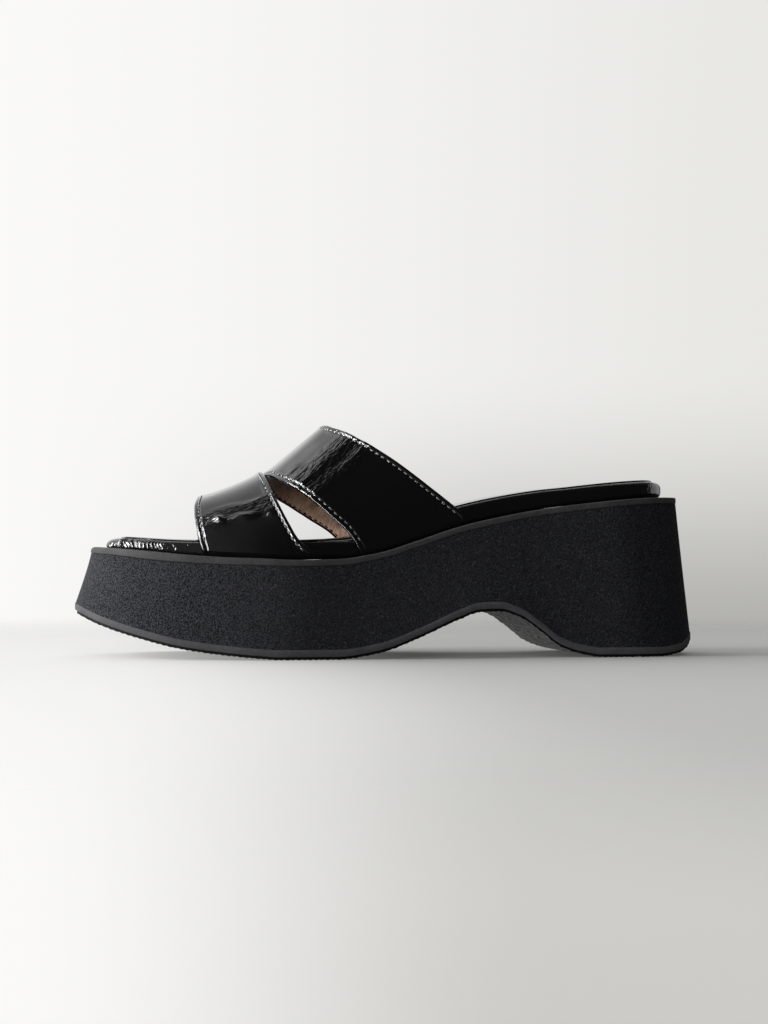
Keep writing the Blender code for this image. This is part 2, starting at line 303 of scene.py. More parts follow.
# %% [markdown]
# ## Outsole with a fine tread
# The outsole is a rubber sheet that follows the wave of the platform. Its side shows a smooth grey
# band and, below a small step, the rough edge of the tread, painted dark along its edge rows as the
# shade under the sole. The tread is made of low round studs in staggered rows. They are cut up into
# the sheet, so the stud tips stay on the floor line and the shoe stands at its true height.

# %% Tread studs
OUTSOLE_THICK, OUTSOLE_ROUND = 4.2, 0.3
TREAD_EDGE_HEIGHT, TREAD_EDGE_SETBACK = 1.2, 0.5
TREAD_TOE_MARGIN, TREAD_HEEL_MARGIN, TREAD_COLUMNS = 1.0, 0.9, 132
STUD_PITCH, STUD_STEPS, STUD_DEPTH, STUD_WEAR = 2.4, 4.0, 0.42, 0.25
ROW_SLANT_X, ROW_SLANT_Y = 0.5, 0.866


def stud_cut(x, y):
    """How far the tread is cut up between the stud tips, from three waves 60 degrees apart."""
    turn = 2.0 * math.pi / STUD_PITCH
    slant_x, slant_y = ROW_SLANT_X * x, ROW_SLANT_Y * y
    waves = np.cos(turn * x) + np.cos(turn * (slant_x + slant_y)) + np.cos(turn * (slant_x - slant_y))
    worn = 1.0 - STUD_WEAR + STUD_WEAR * np.sin(x / 2.3 + 0.8 * y) * np.sin(y / 1.7 - 0.5 * x)
    return STUD_DEPTH * worn * (1.0 - smoothstep((waves + 1.5) / 3.0))


def tread_net():
    """Points of the tread's underside from the outer to the inner edge, station by station."""
    toe, heel = FLOOR_LEVEL.toe + TREAD_TOE_MARGIN, FLOOR_LEVEL.heel - TREAD_HEEL_MARGIN
    x = np.arange(toe, heel, STUD_PITCH / STUD_STEPS)
    outer, inner = edge_pair(x, FLOOR_LEVEL, TREAD_EDGE_SETBACK)
    share = np.linspace(0.0, 1.0, TREAD_COLUMNS + 1)
    y = outer[:, None] + (inner - outer)[:, None] * share[None, :]
    grid_x = np.repeat(x[:, None], TREAD_COLUMNS + 1, axis=1)
    return np.stack([grid_x, y, tread_at(grid_x) + stud_cut(grid_x, y)], axis=-1)


under = tread_net()
print("tread net has", under.shape[0], "rows of", under.shape[1], "points")

# %% Tread as a closed block
def grid_faces(rows, columns):
    """Quads of a net, and the indices of its border in order."""
    index = np.arange(rows * columns).reshape(rows, columns)
    corners = (index[:-1, :-1], index[:-1, 1:], index[1:, 1:], index[1:, :-1])
    border = np.concatenate([index[0, :], index[1:, -1], index[-1, -2::-1], index[-2:0:-1, 0]])
    return np.stack([corner.ravel() for corner in corners], axis=1), border


def tread_block(low, top):
    """A closed solid from the net of studs up to a plain top, which needs only its border."""
    rows, columns = low.shape[:2]
    quads, border = grid_faces(rows, columns)
    roof = low.reshape(-1, 3)[border].copy()
    roof[:, 2] = tread_at(roof[:, 0]) + top
    start, count = rows * columns, len(border)
    here = np.arange(count)
    after = (here + 1) % count
    faces = [tuple(quad) for quad in quads.tolist()]
    walls = np.stack([border[after], border[here], start + here, start + after], axis=1)
    faces += [tuple(wall) for wall in walls.tolist()]
    toe_row = [start + i for i in range(columns)]
    inner_side = [start + columns - 1 + r for r in range(rows)]
    outer_side = [start] + [start + count - r for r in range(1, rows)]
    faces.append(tuple(reversed(toe_row + [inner_side[1], outer_side[1]])))
    for r in range(1, rows - 2):
        faces.append((outer_side[r], outer_side[r + 1], inner_side[r + 1], inner_side[r]))
    heel_row = [start + columns + rows - 2 + i for i in range(columns)]
    faces.append(tuple(reversed([outer_side[-2], inner_side[-2]] + heel_row)))
    return np.concatenate([low.reshape(-1, 3), roof]), faces


# %% Outsole band and tread
SOLE_STEPS, HAIR_GAP = (60, 200, 50), 0.05
OUTSOLE_PROFILE = (
    (2.2, TREAD_EDGE_HEIGHT), (TREAD_EDGE_SETBACK, TREAD_EDGE_HEIGHT),
    (0.12, TREAD_EDGE_HEIGHT + 0.1), (0.0, TREAD_EDGE_HEIGHT + 0.35),
    (0.0, OUTSOLE_THICK - OUTSOLE_ROUND), (0.09, OUTSOLE_THICK - 0.09), (OUTSOLE_ROUND, OUTSOLE_THICK),
)
rings = []
for inset, rise in OUTSOLE_PROFILE:
    x, outer, inner = outline(FLOOR_LEVEL, inset, SOLE_STEPS)
    rings.append(ring_points(x, outer, inner, tread_at(x) + rise))
outsole = make_piece("outsole_band", *loft(rings), "outsole", "outsole_rubber")

# Painted shade: the outer rows and columns of the tread and its walls carry the rim mark, painted dark as
# the shade under the sole's edge.
near_row, near_column = (np.minimum(np.arange(n), np.arange(n)[::-1]) for n in under.shape[:2])
rim_shade_mark = (np.minimum(near_row[:, None], near_column[None, :]) <= 1).astype(float).ravel()
points, faces = tread_block(under, TREAD_EDGE_HEIGHT - HAIR_GAP)
rim_shade_mark = np.concatenate([rim_shade_mark, np.ones(len(points) - len(rim_shade_mark))])
tread = make_piece("outsole_tread", points, faces, "outsole", "outsole_rubber", {"rim": rim_shade_mark})

# %% [markdown]
# ## Foam platform
# The platform is a block of black foam with a sandy grain. Its wall is hollow and flared at the toe
# and almost straight at the heel, so the flare follows the height to a power that fades from toe to
# heel. The grain is far finer than the wall, so it is left to the material.

# %% Platform
FLARE_TOE, FLARE_HEEL = 1.16, 1.04
WELT_PROUD = 0.12
WALL_RINGS = 24

low = outline(FLOOR_LEVEL, OUTSOLE_ROUND, SOLE_STEPS)
high = outline(DECK_LEVEL, WELT_PROUD, SOLE_STEPS)
floor_z = tread_at(low[0]) + OUTSOLE_THICK + HAIR_GAP
deck_z = deck_at(high[0]) - welt_at(high[0]) - HAIR_GAP
flare = np.linspace(FLARE_TOE, FLARE_HEEL, len(floor_z))
rings = []
for up in np.linspace(0.0, 1.0, WALL_RINGS + 1):
    inward = 1.0 - (1.0 - up) ** flare
    x, outer, inner = (a + (b - a) * inward for a, b in zip(low, high))
    rings.append(ring_points(x, outer, inner, floor_z + (deck_z - floor_z) * up))
platform = make_piece("foam_platform", *loft(rings), "midsole", "platform_foam")

# %% [markdown]
# ## Welt
# A thin rubber sheet closes the top of the platform and shows as a light band under the bands. It
# is a little thicker behind the toe and stands a hair proud of the foam, with rounded edges that
# catch the light. A quarter turn of rings makes its lower edge, and a wider one its upper edge.

# %% Welt
WELT_ROUND, WELT_TOE_ROUND, WELT_TOE_REACH = 0.6, 1.9, 9.0
WELT_LOW_RINGS, WELT_HIGH_RINGS = 5, 7
welt_x = stations(DECK_LEVEL.toe, DECK_LEVEL.heel, *SOLE_STEPS)
welt_slide = stations(DECK_LEVEL.toe + 1.0, DECK_LEVEL.heel - 1.0, *SOLE_STEPS) - welt_x
toe_share = 1.0 - smoothstep((welt_x - DECK_LEVEL.toe) / WELT_TOE_REACH)
top_round = WELT_ROUND + (WELT_TOE_ROUND - WELT_ROUND) * toe_share


def welt_ring(inset, rise):
    x = welt_x + welt_slide * inset
    return ring_points(x, *edge_pair(x, DECK_LEVEL, inset), deck_at(x) + rise)


rings = []
for turn in np.radians(np.linspace(-90.0, 0.0, WELT_LOW_RINGS)):
    inset = WELT_ROUND * (1.0 - math.cos(turn)) + 0.0 * welt_x
    rings.append(welt_ring(inset, WELT_ROUND * (1.0 + math.sin(turn)) - welt_at(welt_x)))
for turn in np.radians(np.linspace(0.0, 90.0, WELT_HIGH_RINGS)):
    rings.append(welt_ring(top_round * (1.0 - math.cos(turn)), top_round * (math.sin(turn) - 1.0)))
welt = make_piece("welt_strip", *loft(rings), "welt", "welt_rubber")

# %% [markdown]
# ## Footbed
# The footbed is a padded sole wrapped in crinkled patent. The wrap is pulled down over the edge, so
# round the toe the spare leather gathers in small upright pleats. Its side is a stack of rings: a
# rounded foot, a soft side and a rolled top edge. Pleats push the side in and out along its own
# outline. A wandering phase and an uneven depth keep them from looking like a comb.

# %% Footbed outline
PAD_STEPS = (320, 130, 60)
PAD_ROUND, PAD_TOE_ROUND, PAD_TOE_SLOPE, PAD_TOE_REACH = 2.2, 3.6, 6.0, 6.0
PAD_HEEL_ROUND, PAD_HEEL_SLOPE, PAD_HEEL_REACH = 3.0, 3.8, 10.0

pad_x = stations(PAD_LEVEL.toe, PAD_LEVEL.heel, *PAD_STEPS)
pad_slide = stations(PAD_LEVEL.toe + 1.0, PAD_LEVEL.heel - 1.0, *PAD_STEPS) - pad_x
toe_share = 1.0 - smoothstep((pad_x - PAD_LEVEL.toe) / PAD_TOE_REACH)
heel_share = 1.0 - smoothstep((PAD_LEVEL.heel - pad_x) / PAD_HEEL_REACH)


def by_end(side, toe, heel):
    """A size along the footbed that changes at the toe and at the heel."""
    return side + (toe - side) * toe_share + (heel - side) * heel_share


pad_round = by_end(PAD_ROUND, PAD_TOE_ROUND, PAD_HEEL_ROUND)
pad_slope = by_end(PAD_ROUND, PAD_TOE_SLOPE, PAD_HEEL_SLOPE)
pad_top = pad_at(pad_x)
print("footbed is", round(float(pad_top.min()), 1), "to", round(float(pad_top.max()), 1), "mm thick")

# %% Pleats
PLEAT_PITCH, PLEAT_IN, PLEAT_OUT, PLEAT_END, PLEAT_FADE = 2.1, 0.74, 0.18, -82.0, 38.0
PLEAT_FAN, PLEAT_UNEVEN, PLEAT_SHARPNESS = 0.5, 0.36, 0.45
Wander = namedtuple("Wander", "size length turn")
PLEAT_WANDER = (Wander(1.9, 4.3, 2.0), Wander(1.2, 1.7, 5.0))


def pleat_push(x, edge, rise, side):
    """Push of the pleats along one side of the outline, by distance from the toe tip."""
    along = np.concatenate([[0.0], np.cumsum(np.hypot(np.diff(x), np.diff(edge)))])
    wander = sum(w.size * np.sin(along / w.length + w.turn * side) for w in PLEAT_WANDER)
    fan = PLEAT_FAN * (1.0 + np.sin(along / 3.1 + side)) * rise
    wave = 0.5 + 0.5 * np.cos(2.0 * math.pi * (along + fan) / PLEAT_PITCH + wander)
    uneven = PLEAT_UNEVEN * np.sin(along / 1.45 + 1.3 * np.sin(along / 4.1) + side)
    strength = smoothstep((PLEAT_END - x) / PLEAT_FADE) * (1.0 - PLEAT_UNEVEN + uneven)
    return strength * (PLEAT_OUT - (PLEAT_IN + PLEAT_OUT) * (1.0 - wave ** PLEAT_SHARPNESS))


def pad_ring(inset, rise, pleat):
    """One ring of the footbed: inset and rise above the deck at each station, share of the pleats."""
    x = pad_x + pad_slide * inset
    outer, inner = edge_pair(x, PAD_LEVEL, inset)
    ring = ring_points(x, outer, inner, deck_at(x) + rise)
    tangent = np.roll(ring, -1, axis=0) - np.roll(ring, 1, axis=0)
    normal = np.stack([tangent[:, 1], -tangent[:, 0], 0.0 * tangent[:, 0]], axis=1)
    normal /= np.linalg.norm(normal, axis=1, keepdims=True)
    push = np.concatenate([pleat_push(x, outer, rise, 0.0), pleat_push(x, inner, rise, 1.0)[-2:0:-1]])
    return ring + normal * (pleat * push)[:, None]


print("pleats about every", PLEAT_PITCH, "mm round the toe")

# %% Footbed wrap
PAD_FOOT_ROUND, PAD_FOOT_TOE, PAD_FOOT_REACH, PAD_LIFT = 2.2, 0.9, 20.0, 0.1
PAD_FOOT_RINGS, PAD_SIDE_RINGS, PAD_ROLL_RINGS = 6, (0.25, 0.5, 0.75), 12
PLEAT_AT_FOOT, PLEAT_ROLL_FADE = 0.6, 0.8

foot_share = smoothstep((pad_x - PLEAT_END) / PAD_FOOT_REACH)
foot_round = PAD_FOOT_TOE + (PAD_FOOT_ROUND - PAD_FOOT_TOE) * foot_share
foot_rise = np.minimum(foot_round, pad_top - pad_round)
side_rise = pad_top - pad_round - foot_rise - PAD_LIFT
rings = []
for turn in np.radians(np.linspace(-90.0, 0.0, PAD_FOOT_RINGS)):
    rise = PAD_LIFT + foot_rise * (1.0 + math.sin(turn))
    pleat = PLEAT_AT_FOOT + (1.0 - PLEAT_AT_FOOT) * math.cos(turn)
    rings.append(pad_ring(foot_rise * (1.0 - math.cos(turn)), rise, pleat))
for up in PAD_SIDE_RINGS:
    rings.append(pad_ring(0.0 * pad_x, PAD_LIFT + foot_rise + side_rise * up, 1.0))
for turn in np.radians(np.linspace(0.0, 90.0, PAD_ROLL_RINGS)):
    rise = pad_top - pad_round * (1.0 - math.sin(turn))
    rings.append(pad_ring(pad_slope * (1.0 - math.cos(turn)), rise, math.cos(turn) ** PLEAT_ROLL_FADE))
footbed = make_piece("footbed", *loft(rings), "insole", "footbed_patent")

# %% [markdown]
# ## Top sheet of the footbed
# A thin smooth sheet lies on the wrap. Its edge is a short profile of insets and rises, and from
# there rings close in over a faint crown to a line along the middle. It is a piece of its own,
# because its film is calmer than the wrap's and takes the light in another way.

# %% Top sheet
SHEET_EDGE = ((0.6, -0.08), (0.22, 0.0), (0.14, 0.14), (0.14, 0.42), (0.26, 0.6), (0.8, 0.7))
SHEET_MIDDLE, SHEET_CROWN, SHEET_RINGS = (-92.0, 94.0), 0.5, 18

rings = [pad_ring(pad_slope + inset, pad_top + rise, 0.0) for inset, rise in SHEET_EDGE]
sheet_inset, sheet_rise = SHEET_EDGE[-1]
x_edge = pad_x + pad_slide * (pad_slope + sheet_inset)
outer, inner = edge_pair(x_edge, PAD_LEVEL, pad_slope + sheet_inset)
for share in np.linspace(0.0, 1.0, SHEET_RINGS + 2)[1:-1]:
    x = x_edge + (np.clip(x_edge, *SHEET_MIDDLE) - x_edge) * share
    middle, half = 0.5 * (outer + inner), 0.5 * (inner - outer) * (1.0 - share)
    z = deck_at(x) + pad_at(x) + sheet_rise + SHEET_CROWN * (1.0 - (1.0 - share) ** 2)
    rings.append(ring_points(x, middle - half, middle + half, z))
footbed_sheet = make_piece("footbed_sheet", *loft(rings), "insole", "footbed_patent")

# %% [markdown]
# ## Foot form for the bands
# Leather bands are pulled over a last. The form here gives, for a place along the foot and an angle
# round it, a point of the band's middle plane: zero degrees is the deck on the outer side, ninety
# the ridge. Close to the deck the leather turns in under the footbed's rounded foot. The edges of
# both bands are then lines on this form, and anything beside an edge is placed by its distance.

# %% Foot form
WALL, PAD_CLEARANCE = 2.0, 0.5
TUCK, TUCK_RISE, PROBE = 1.6, 3.0, 0.5


def foot_form(x, angle, tuck=0.0):
    outer, inner = edge_pair(x, PAD_LEVEL)
    middle = 0.5 * (outer + inner)
    reach = 0.5 * (inner - outer) + PAD_CLEARANCE + 0.5 * WALL
    base = deck_at(x) + GAP
    power = squareness_at(x)
    turn = np.radians(angle)
    across = np.cos(turn)
    y = middle - reach * np.sign(across) * np.abs(across) ** power
    z = base + (ridge_at(x) - base) * np.clip(np.sin(turn), 0.0, 1.0) ** power
    y = y + np.sign(across) * tuck * np.clip(1.0 - (z - base) / TUCK_RISE, 0.0, 1.0) ** 2
    return np.stack([x, y, z], axis=-1)


def form_normal(x, angle):
    along = foot_form(x + PROBE, angle) - foot_form(x - PROBE, angle)
    around = foot_form(x, np.minimum(angle + PROBE, 180.0)) - foot_form(x, np.maximum(angle - PROBE, 0.0))
    normal = np.cross(along, around)
    return normal / np.linalg.norm(normal, axis=-1, keepdims=True)


print("bands are", WALL, "mm thick and clear the footbed by", PAD_CLEARANCE, "mm")

# %% Band edges
BAND_ROWS, BASE_CROWDING, EDGE_PROUD = 320, 1.3, 0.2
AROUND = np.linspace(-1.0, 1.0, BAND_ROWS + 1)
RISE = (1.0 - np.abs(AROUND)) ** BASE_CROWDING
ANGLE = 90.0 + 90.0 * np.sign(AROUND) * (1.0 - RISE)
Seam = namedtuple("Seam", "x scale way")
Band = namedtuple("Band", "toe heel")


def edge_scale(x):
    """Steps along X for each millimetre square to an edge that runs round the foot."""
    line = foot_form(x, ANGLE)
    run = np.gradient(line, axis=0)
    along = foot_form(x + PROBE, ANGLE) - foot_form(x - PROBE, ANGLE)
    cross = np.linalg.norm(np.cross(run, along), axis=1)
    return np.linalg.norm(run, axis=1) / np.maximum(cross, 1e-6) * 2.0 * PROBE


def make_band(toe_edge, heel_edge):
    """The two edges of a band: X and scale at each row, and the way that leads inside."""
    toe = np.where(AROUND > 0.0, edge_at[toe_edge + "_inner"](RISE), edge_at[toe_edge](RISE)) - EDGE_PROUD
    heel = edge_at[heel_edge](RISE) + EDGE_PROUD
    return Band(Seam(toe, edge_scale(toe), 1.0), Seam(heel, edge_scale(heel), -1.0))


def inside(seam, distance):
    """X of the line that runs a distance inside an edge, at each row."""
    return seam.x + seam.way * seam.scale * distance


front, rear = make_band("front_toe", "front_heel"), make_band("rear_toe", "rear_heel")
print("front band is", round(float((front.heel.x - front.toe.x).max()), 1), "mm long at its base")

# %% [markdown]
# ## Creases and crinkle
# Where the leather bends from the side to the top of the foot it is crinkled. The larger creases
# are listed, a row for each. Between them fixed noise, drawn out along the bend, makes the
# small wrinkles inside a zone that leans with the bend. A few flats stay smooth in it.

# %% Creases
Crease = namedtuple("Crease", "x angle length width depth lean")
FRONT_CREASES = (
    Crease(-67.0, 41.8, 15.0, 2.4, 0.50, 0.10), Crease(-53.6, 28.2, 2.4, 2.2, 0.55, 0.0),
    Crease(-65.2, 29.6, 5.2, 2.6, 1.15, 0.12),
    Crease(-75.0, 31.0, 2.0, 2.4, 1.15, 0.0), Crease(-66.0, 24.6, 14.0, 1.3, -0.22, 0.25),
    Crease(-66.0, 142.0, 12.0, 1.8, -0.30, 0.0), Crease(-70.0, 150.0, 9.0, 2.6, 0.70, 0.0),
)
REAR_CREASES = (
    Crease(-30.2, 46.8, 12.0, 2.4, 0.42, 0.68), Crease(-26.2, 40.6, 12.0, 2.3, -0.66, 0.56),
    Crease(-38.0, 41.0, 5.0, 1.5, 0.35, 0.70), Crease(-35.0, 35.0, 6.0, 1.5, 0.32, 0.60),
    Crease(-19.0, 51.0, 6.0, 1.5, 0.32, 0.80), Crease(-17.0, 41.0, 6.0, 1.4, 0.30, 0.60),
    Crease(-40.0, 36.0, 4.0, 1.2, -0.28, 0.60), Crease(-43.0, 54.0, 3.0, 1.8, 0.40, 0.40),
    Crease(-33.0, 134.0, 12.0, 1.8, -0.30, -0.66), Crease(-27.0, 127.0, 10.0, 1.6, 0.45, -0.66),
)
CREASE_WANDER, CREASE_WANDER_LENGTH = 0.7, 2.7
ARC_PER_DEGREE, BEND_STRETCH = 0.72, 0.42


def crease_push(x, angle, creases):
    push = np.zeros_like(x)
    for c in creases:
        along = (x - c.x) / c.length
        wave = CREASE_WANDER * np.sin((x - c.x) / CREASE_WANDER_LENGTH)
        across = ((angle - c.angle - c.lean * (x - c.x)) * ARC_PER_DEGREE + wave) / c.width
        push += c.depth * np.exp(-along ** 2 - across ** 2)
    return push


print(len(FRONT_CREASES), "creases in the front band,", len(REAR_CREASES), "in the rear band")

# %% Crinkled zones
Flat = namedtuple("Flat", "x angle length half_angle")
Zone = namedtuple("Zone", "x angle half_angle lean strength flats")
FRONT_FLATS = (Flat(-64.8, 32.4, 6.0, 2.8), Flat(-74.6, 32.4, 2.6, 3.0))
FRONT_ZONE = Zone(-66.0, 34.0, 8.0, 0.22, 0.8, FRONT_FLATS)
REAR_ZONE = Zone(-28.0, 43.5, 13.0, 0.45, 1.35, ())
ZONE_CORE, ZONE_FADE = 0.65, 0.55
SWELL_SIZE, SWELL_HEIGHT = 9.0, 0.06
WRINKLE_SIZE, WRINKLE_HEIGHT, WRINKLET_SIZE, WRINKLET_SHARE = 1.5, 0.11, 0.9, 0.3


def zone_share(x, angle, zone):
    """Share of the crinkled shoulder, alike on both sides of the foot."""
    outer_angle = np.minimum(angle, 180.0 - angle)
    away = np.abs(outer_angle - zone.angle - zone.lean * (x - zone.x)) / zone.half_angle
    share = zone.strength * (1.0 - smoothstep((away - ZONE_CORE) / ZONE_FADE))
    for f in zone.flats:
        along, across = (x - f.x) / f.length, (outer_angle - f.angle) / f.half_angle
        share = share * (1.0 - np.exp(-along ** 2 - across ** 2))
    return share


def bend_place(x, angle, zone):
    """Place along and across the bend, drawn out along it, in millimetres."""
    lean = np.where(angle < 90.0, zone.lean, -zone.lean)
    return x * BEND_STRETCH, (angle - lean * (x - zone.x)) * ARC_PER_DEGREE


def crinkle(points, along, across, share, seed):
    """Uneven swelling of the patent, in millimetres, with wrinkles on the crinkled shoulder."""
    shift = Vector((seed * 17.3, seed * 5.1, seed * 9.7))
    values = []
    for p, a, b in zip(points.reshape(-1, 3), along.ravel(), across.ravel()):
        spot = Vector((a, b, 0.0))
        wrinklet = noise.noise(spot / WRINKLET_SIZE + shift * 3.0)
        wrinkle = noise.noise(spot / WRINKLE_SIZE + shift * 2.0) + WRINKLET_SHARE * wrinklet
        values.append((noise.noise(Vector(p) / SWELL_SIZE + shift), wrinkle))
    values = np.array(values).reshape(*points.shape[:-1], 2)
    return SWELL_HEIGHT * values[..., 0] + WRINKLE_HEIGHT * share * values[..., 1]


print("crinkled zones", 2.0 * FRONT_ZONE.half_angle, "and", 2.0 * REAR_ZONE.half_angle, "degrees wide")

# %% [markdown]
# ## Patent bands
# Each band is a folded patent outside with a bead-like edge, and a lining let in on the inside. One
# row round the foot is a closed loop: over the outside from toe edge to heel edge, round the folded
# edge, and back along the inside with a shallow recess for the lining. The loops are joined row by
# row. Along each edge a line of stitches pulls the leather down, so it puckers between them.

# %% Pull of the stitches
STITCH_INSET, STITCH_PITCH = 2.1, 2.9
PUCKER, PUCKER_WIDTH, PUCKER_BEAT = 0.42, 0.46, 0.35
TOE_SWELL, HEEL_SWELL, MARGIN_INSET, MARGIN_WIDTH, MARGIN_BEAT = 0.14, 0.28, 1.15, 0.42, 0.45
SHOULDER_SHARE, SHOULDER_INSET, SHOULDER_WIDTH, SHOULDER_BEAT = 0.4, 3.1, 0.6, 0.6


def stitch_line(seam):
    """Arc length along the stitch row beside an edge, at each row round the foot."""
    line = foot_form(inside(seam, STITCH_INSET), ANGLE)
    return np.concatenate([[0.0], np.cumsum(np.linalg.norm(np.diff(line, axis=0), axis=1))])


def hump(distance, inset, width):
    return np.exp(-((distance - inset) / width) ** 2)


def stitch_push(distance, along, margin):
    """Pull of the stitches and swell of the folded margin, by distance from the edge."""
    beat = 0.5 + 0.5 * np.cos(2.0 * math.pi * along / STITCH_PITCH)
    pull = -PUCKER * hump(distance, STITCH_INSET, PUCKER_WIDTH) * (1.0 - PUCKER_BEAT + PUCKER_BEAT * beat)
    swell = margin * hump(distance, MARGIN_INSET, MARGIN_WIDTH) * (1.0 - MARGIN_BEAT * beat)
    shoulder = SHOULDER_SHARE * margin * hump(distance, SHOULDER_INSET, SHOULDER_WIDTH)
    return pull + swell + shoulder * (1.0 - SHOULDER_BEAT * beat)


print("a stitch every", STITCH_PITCH, "mm,", STITCH_INSET, "mm inside the edge")

# %% Loop of a band
FOLD_OUTSIDE, FOLD_INSIDE, FOLD_STEPS = 0.65, 0.6, 8
EDGE_STEPS = (1.2, 1.35, 1.5, 1.65, 1.8, 1.95, 2.1, 2.25, 2.4, 2.6, 2.85, 3.2, 3.7, 4.5)
OUTSIDE_COLUMNS, INSIDE_COLUMNS = 96, 16
LINING_INSET, LINING_TOP, LIP = 0.95, 0.1, 0.1


def loop_columns():
    """Columns of a loop: side, distance from that edge or share between, height of the wall."""
    fold = np.radians(np.linspace(0.0, 90.0, FOLD_STEPS))
    rim = [(FOLD_OUTSIDE * (1.0 - math.cos(a)), 1.0 - FOLD_OUTSIDE * (1.0 - math.sin(a))) for a in fold]
    back = [(FOLD_INSIDE * (1.0 - math.cos(a)), FOLD_INSIDE * (1.0 - math.sin(a)) - 1.0) for a in fold[1:]]
    back += [(LINING_INSET - LIP, -1.0), (LINING_INSET, -LINING_TOP)]
    over = rim + [(e, 1.0) for e in EDGE_STEPS]
    columns = [("toe", e, h) for e, h in over]
    columns += [("mid", s, 1.0) for s in np.linspace(0.0, 1.0, OUTSIDE_COLUMNS + 2)[1:-1]]
    columns += [("heel", e, h) for e, h in reversed(over)]
    columns += [("heel", e, h) for e, h in back]
    columns += [("mid", s, -LINING_TOP) for s in np.linspace(1.0, 0.0, INSIDE_COLUMNS)]
    columns += [("toe", e, h) for e, h in reversed(back)]
    return columns


def place_columns(columns, band):
    """X of each column at each row."""
    start, end = (inside(seam, EDGE_STEPS[-1]) for seam in band)
    xs = []
    for side, value, _ in columns:
        xs.append(start + (end - start) * value if side == "mid" else inside(getattr(band, side), value))
    return np.stack(xs, axis=1)


COLUMNS = loop_columns()
COLUMN_HEIGHT = np.array([height for _, _, height in COLUMNS])
print("a loop of a band has", len(COLUMNS), "points")

# %% Front and rear band
LAP_LIFT, LAP_ANGLE, LAP_CLEARANCE = 1.2, 55.0, 0.12
LAP_REACH, LAP_FADE, LAP_START, LAP_SLOPE = 4.0, 3.2, 5.0, 3.0
SETTLE_RISE = 4.0


def lap_lift(angle, share):
    """How far the front band rises over the rear band: most at its heel edge on the ridge."""
    near_ridge = smoothstep(1.0 - np.abs(angle - 90.0) / LAP_ANGLE)
    return LAP_LIFT * near_ridge * smoothstep(share)


def lap_over(height, outside, x, angle, band, below):
    """Heights of a band that laps over another: lifted outside, and cut clear of it inside."""
    share = (x - band.toe.x[:, None]) / (band.heel.x - band.toe.x)[:, None]
    height = height + outside * lap_lift(angle, share)
    over = smoothstep((band.heel.x - below.toe.x + LAP_REACH) / LAP_FADE)[:, None]
    first = np.minimum(below.toe.x, band.heel.x)[:, None]
    floor = -0.5 * WALL + (WALL + LAP_CLEARANCE) * over * smoothstep((x - first + LAP_START) / LAP_SLOPE)
    return np.maximum(height, floor * (outside <= 0.0) + height * (outside > 0.0))


def build_band(name, band, creases, zone, seed, below=None):
    x = place_columns(COLUMNS, band)
    rows, size = x.shape
    angle = np.repeat(ANGLE[:, None], size, axis=1)
    height = np.repeat(COLUMN_HEIGHT[None, :], rows, axis=0) * (0.5 * WALL)
    middle, normal = foot_form(x, angle, TUCK), form_normal(x, angle)
    outside = np.clip(height / (0.5 * WALL), 0.0, 1.0)
    surface = 0.0
    for seam, margin in ((band.toe, TOE_SWELL), (band.heel, HEEL_SWELL)):
        distance = seam.way * (x - seam.x[:, None]) / seam.scale[:, None]
        surface = surface + stitch_push(distance, stitch_line(seam)[:, None], margin)
    crinkled = zone_share(x, angle, zone)
    along, across = bend_place(x, angle, zone)
    surface = surface + crease_push(x, angle, creases) + crinkle(middle, along, across, crinkled, seed)
    height = height + outside * surface * smoothstep((middle[..., 2] - deck_at(x) - GAP) / SETTLE_RISE)
    if below is not None:
        height = lap_over(height, outside, x, angle, band, below)
    points = middle + normal * height[..., None]
    faces = ring_faces(rows, size)
    faces += [tuple(range(size - 1, -1, -1)), tuple(range((rows - 1) * size, rows * size))]
    marks = {"crinkle": crinkled.ravel(), "leather_along": along.ravel(), "leather_across": across.ravel()}
    return make_piece(name, points.reshape(-1, 3), faces, "upper", "band_patent", marks)


rear_band = build_band("rear_band", rear, REAR_CREASES, REAR_ZONE, 2)
front_band = build_band("front_band", front, FRONT_CREASES, FRONT_ZONE, 1, rear)

# %% [markdown]
# ## Lining
# The inside of the bands is a thin brown leather, cut a little smaller than the band and let into
# the recess behind the folded edge. Under the lap the front lining stops short of the rear band.

# %% Lining
LINING_COLUMNS, LINING_CLEARANCE, LINING_STOP, HAIR_SLOPE = 30, 0.08, 2.5, 1.4
LINING_FACE = -0.5 * WALL
LINING_BACK = -LINING_TOP * 0.5 * WALL - 0.06
LINING_WAVE, LINING_ROUND, LINING_ROUND_REACH = 0.05, 0.25, 0.5


def closed_sheet(low, high):
    """A closed solid between two nets of the same rows and columns."""
    quads, border = grid_faces(*low.shape[:2])
    half = low.shape[0] * low.shape[1]
    after = np.roll(border, -1)
    walls = np.stack([after, border, border + half, after + half], axis=1)
    faces = np.concatenate([quads, quads[:, ::-1] + half, walls]).tolist()
    return np.concatenate([low.reshape(-1, 3), high.reshape(-1, 3)]), [tuple(face) for face in faces]


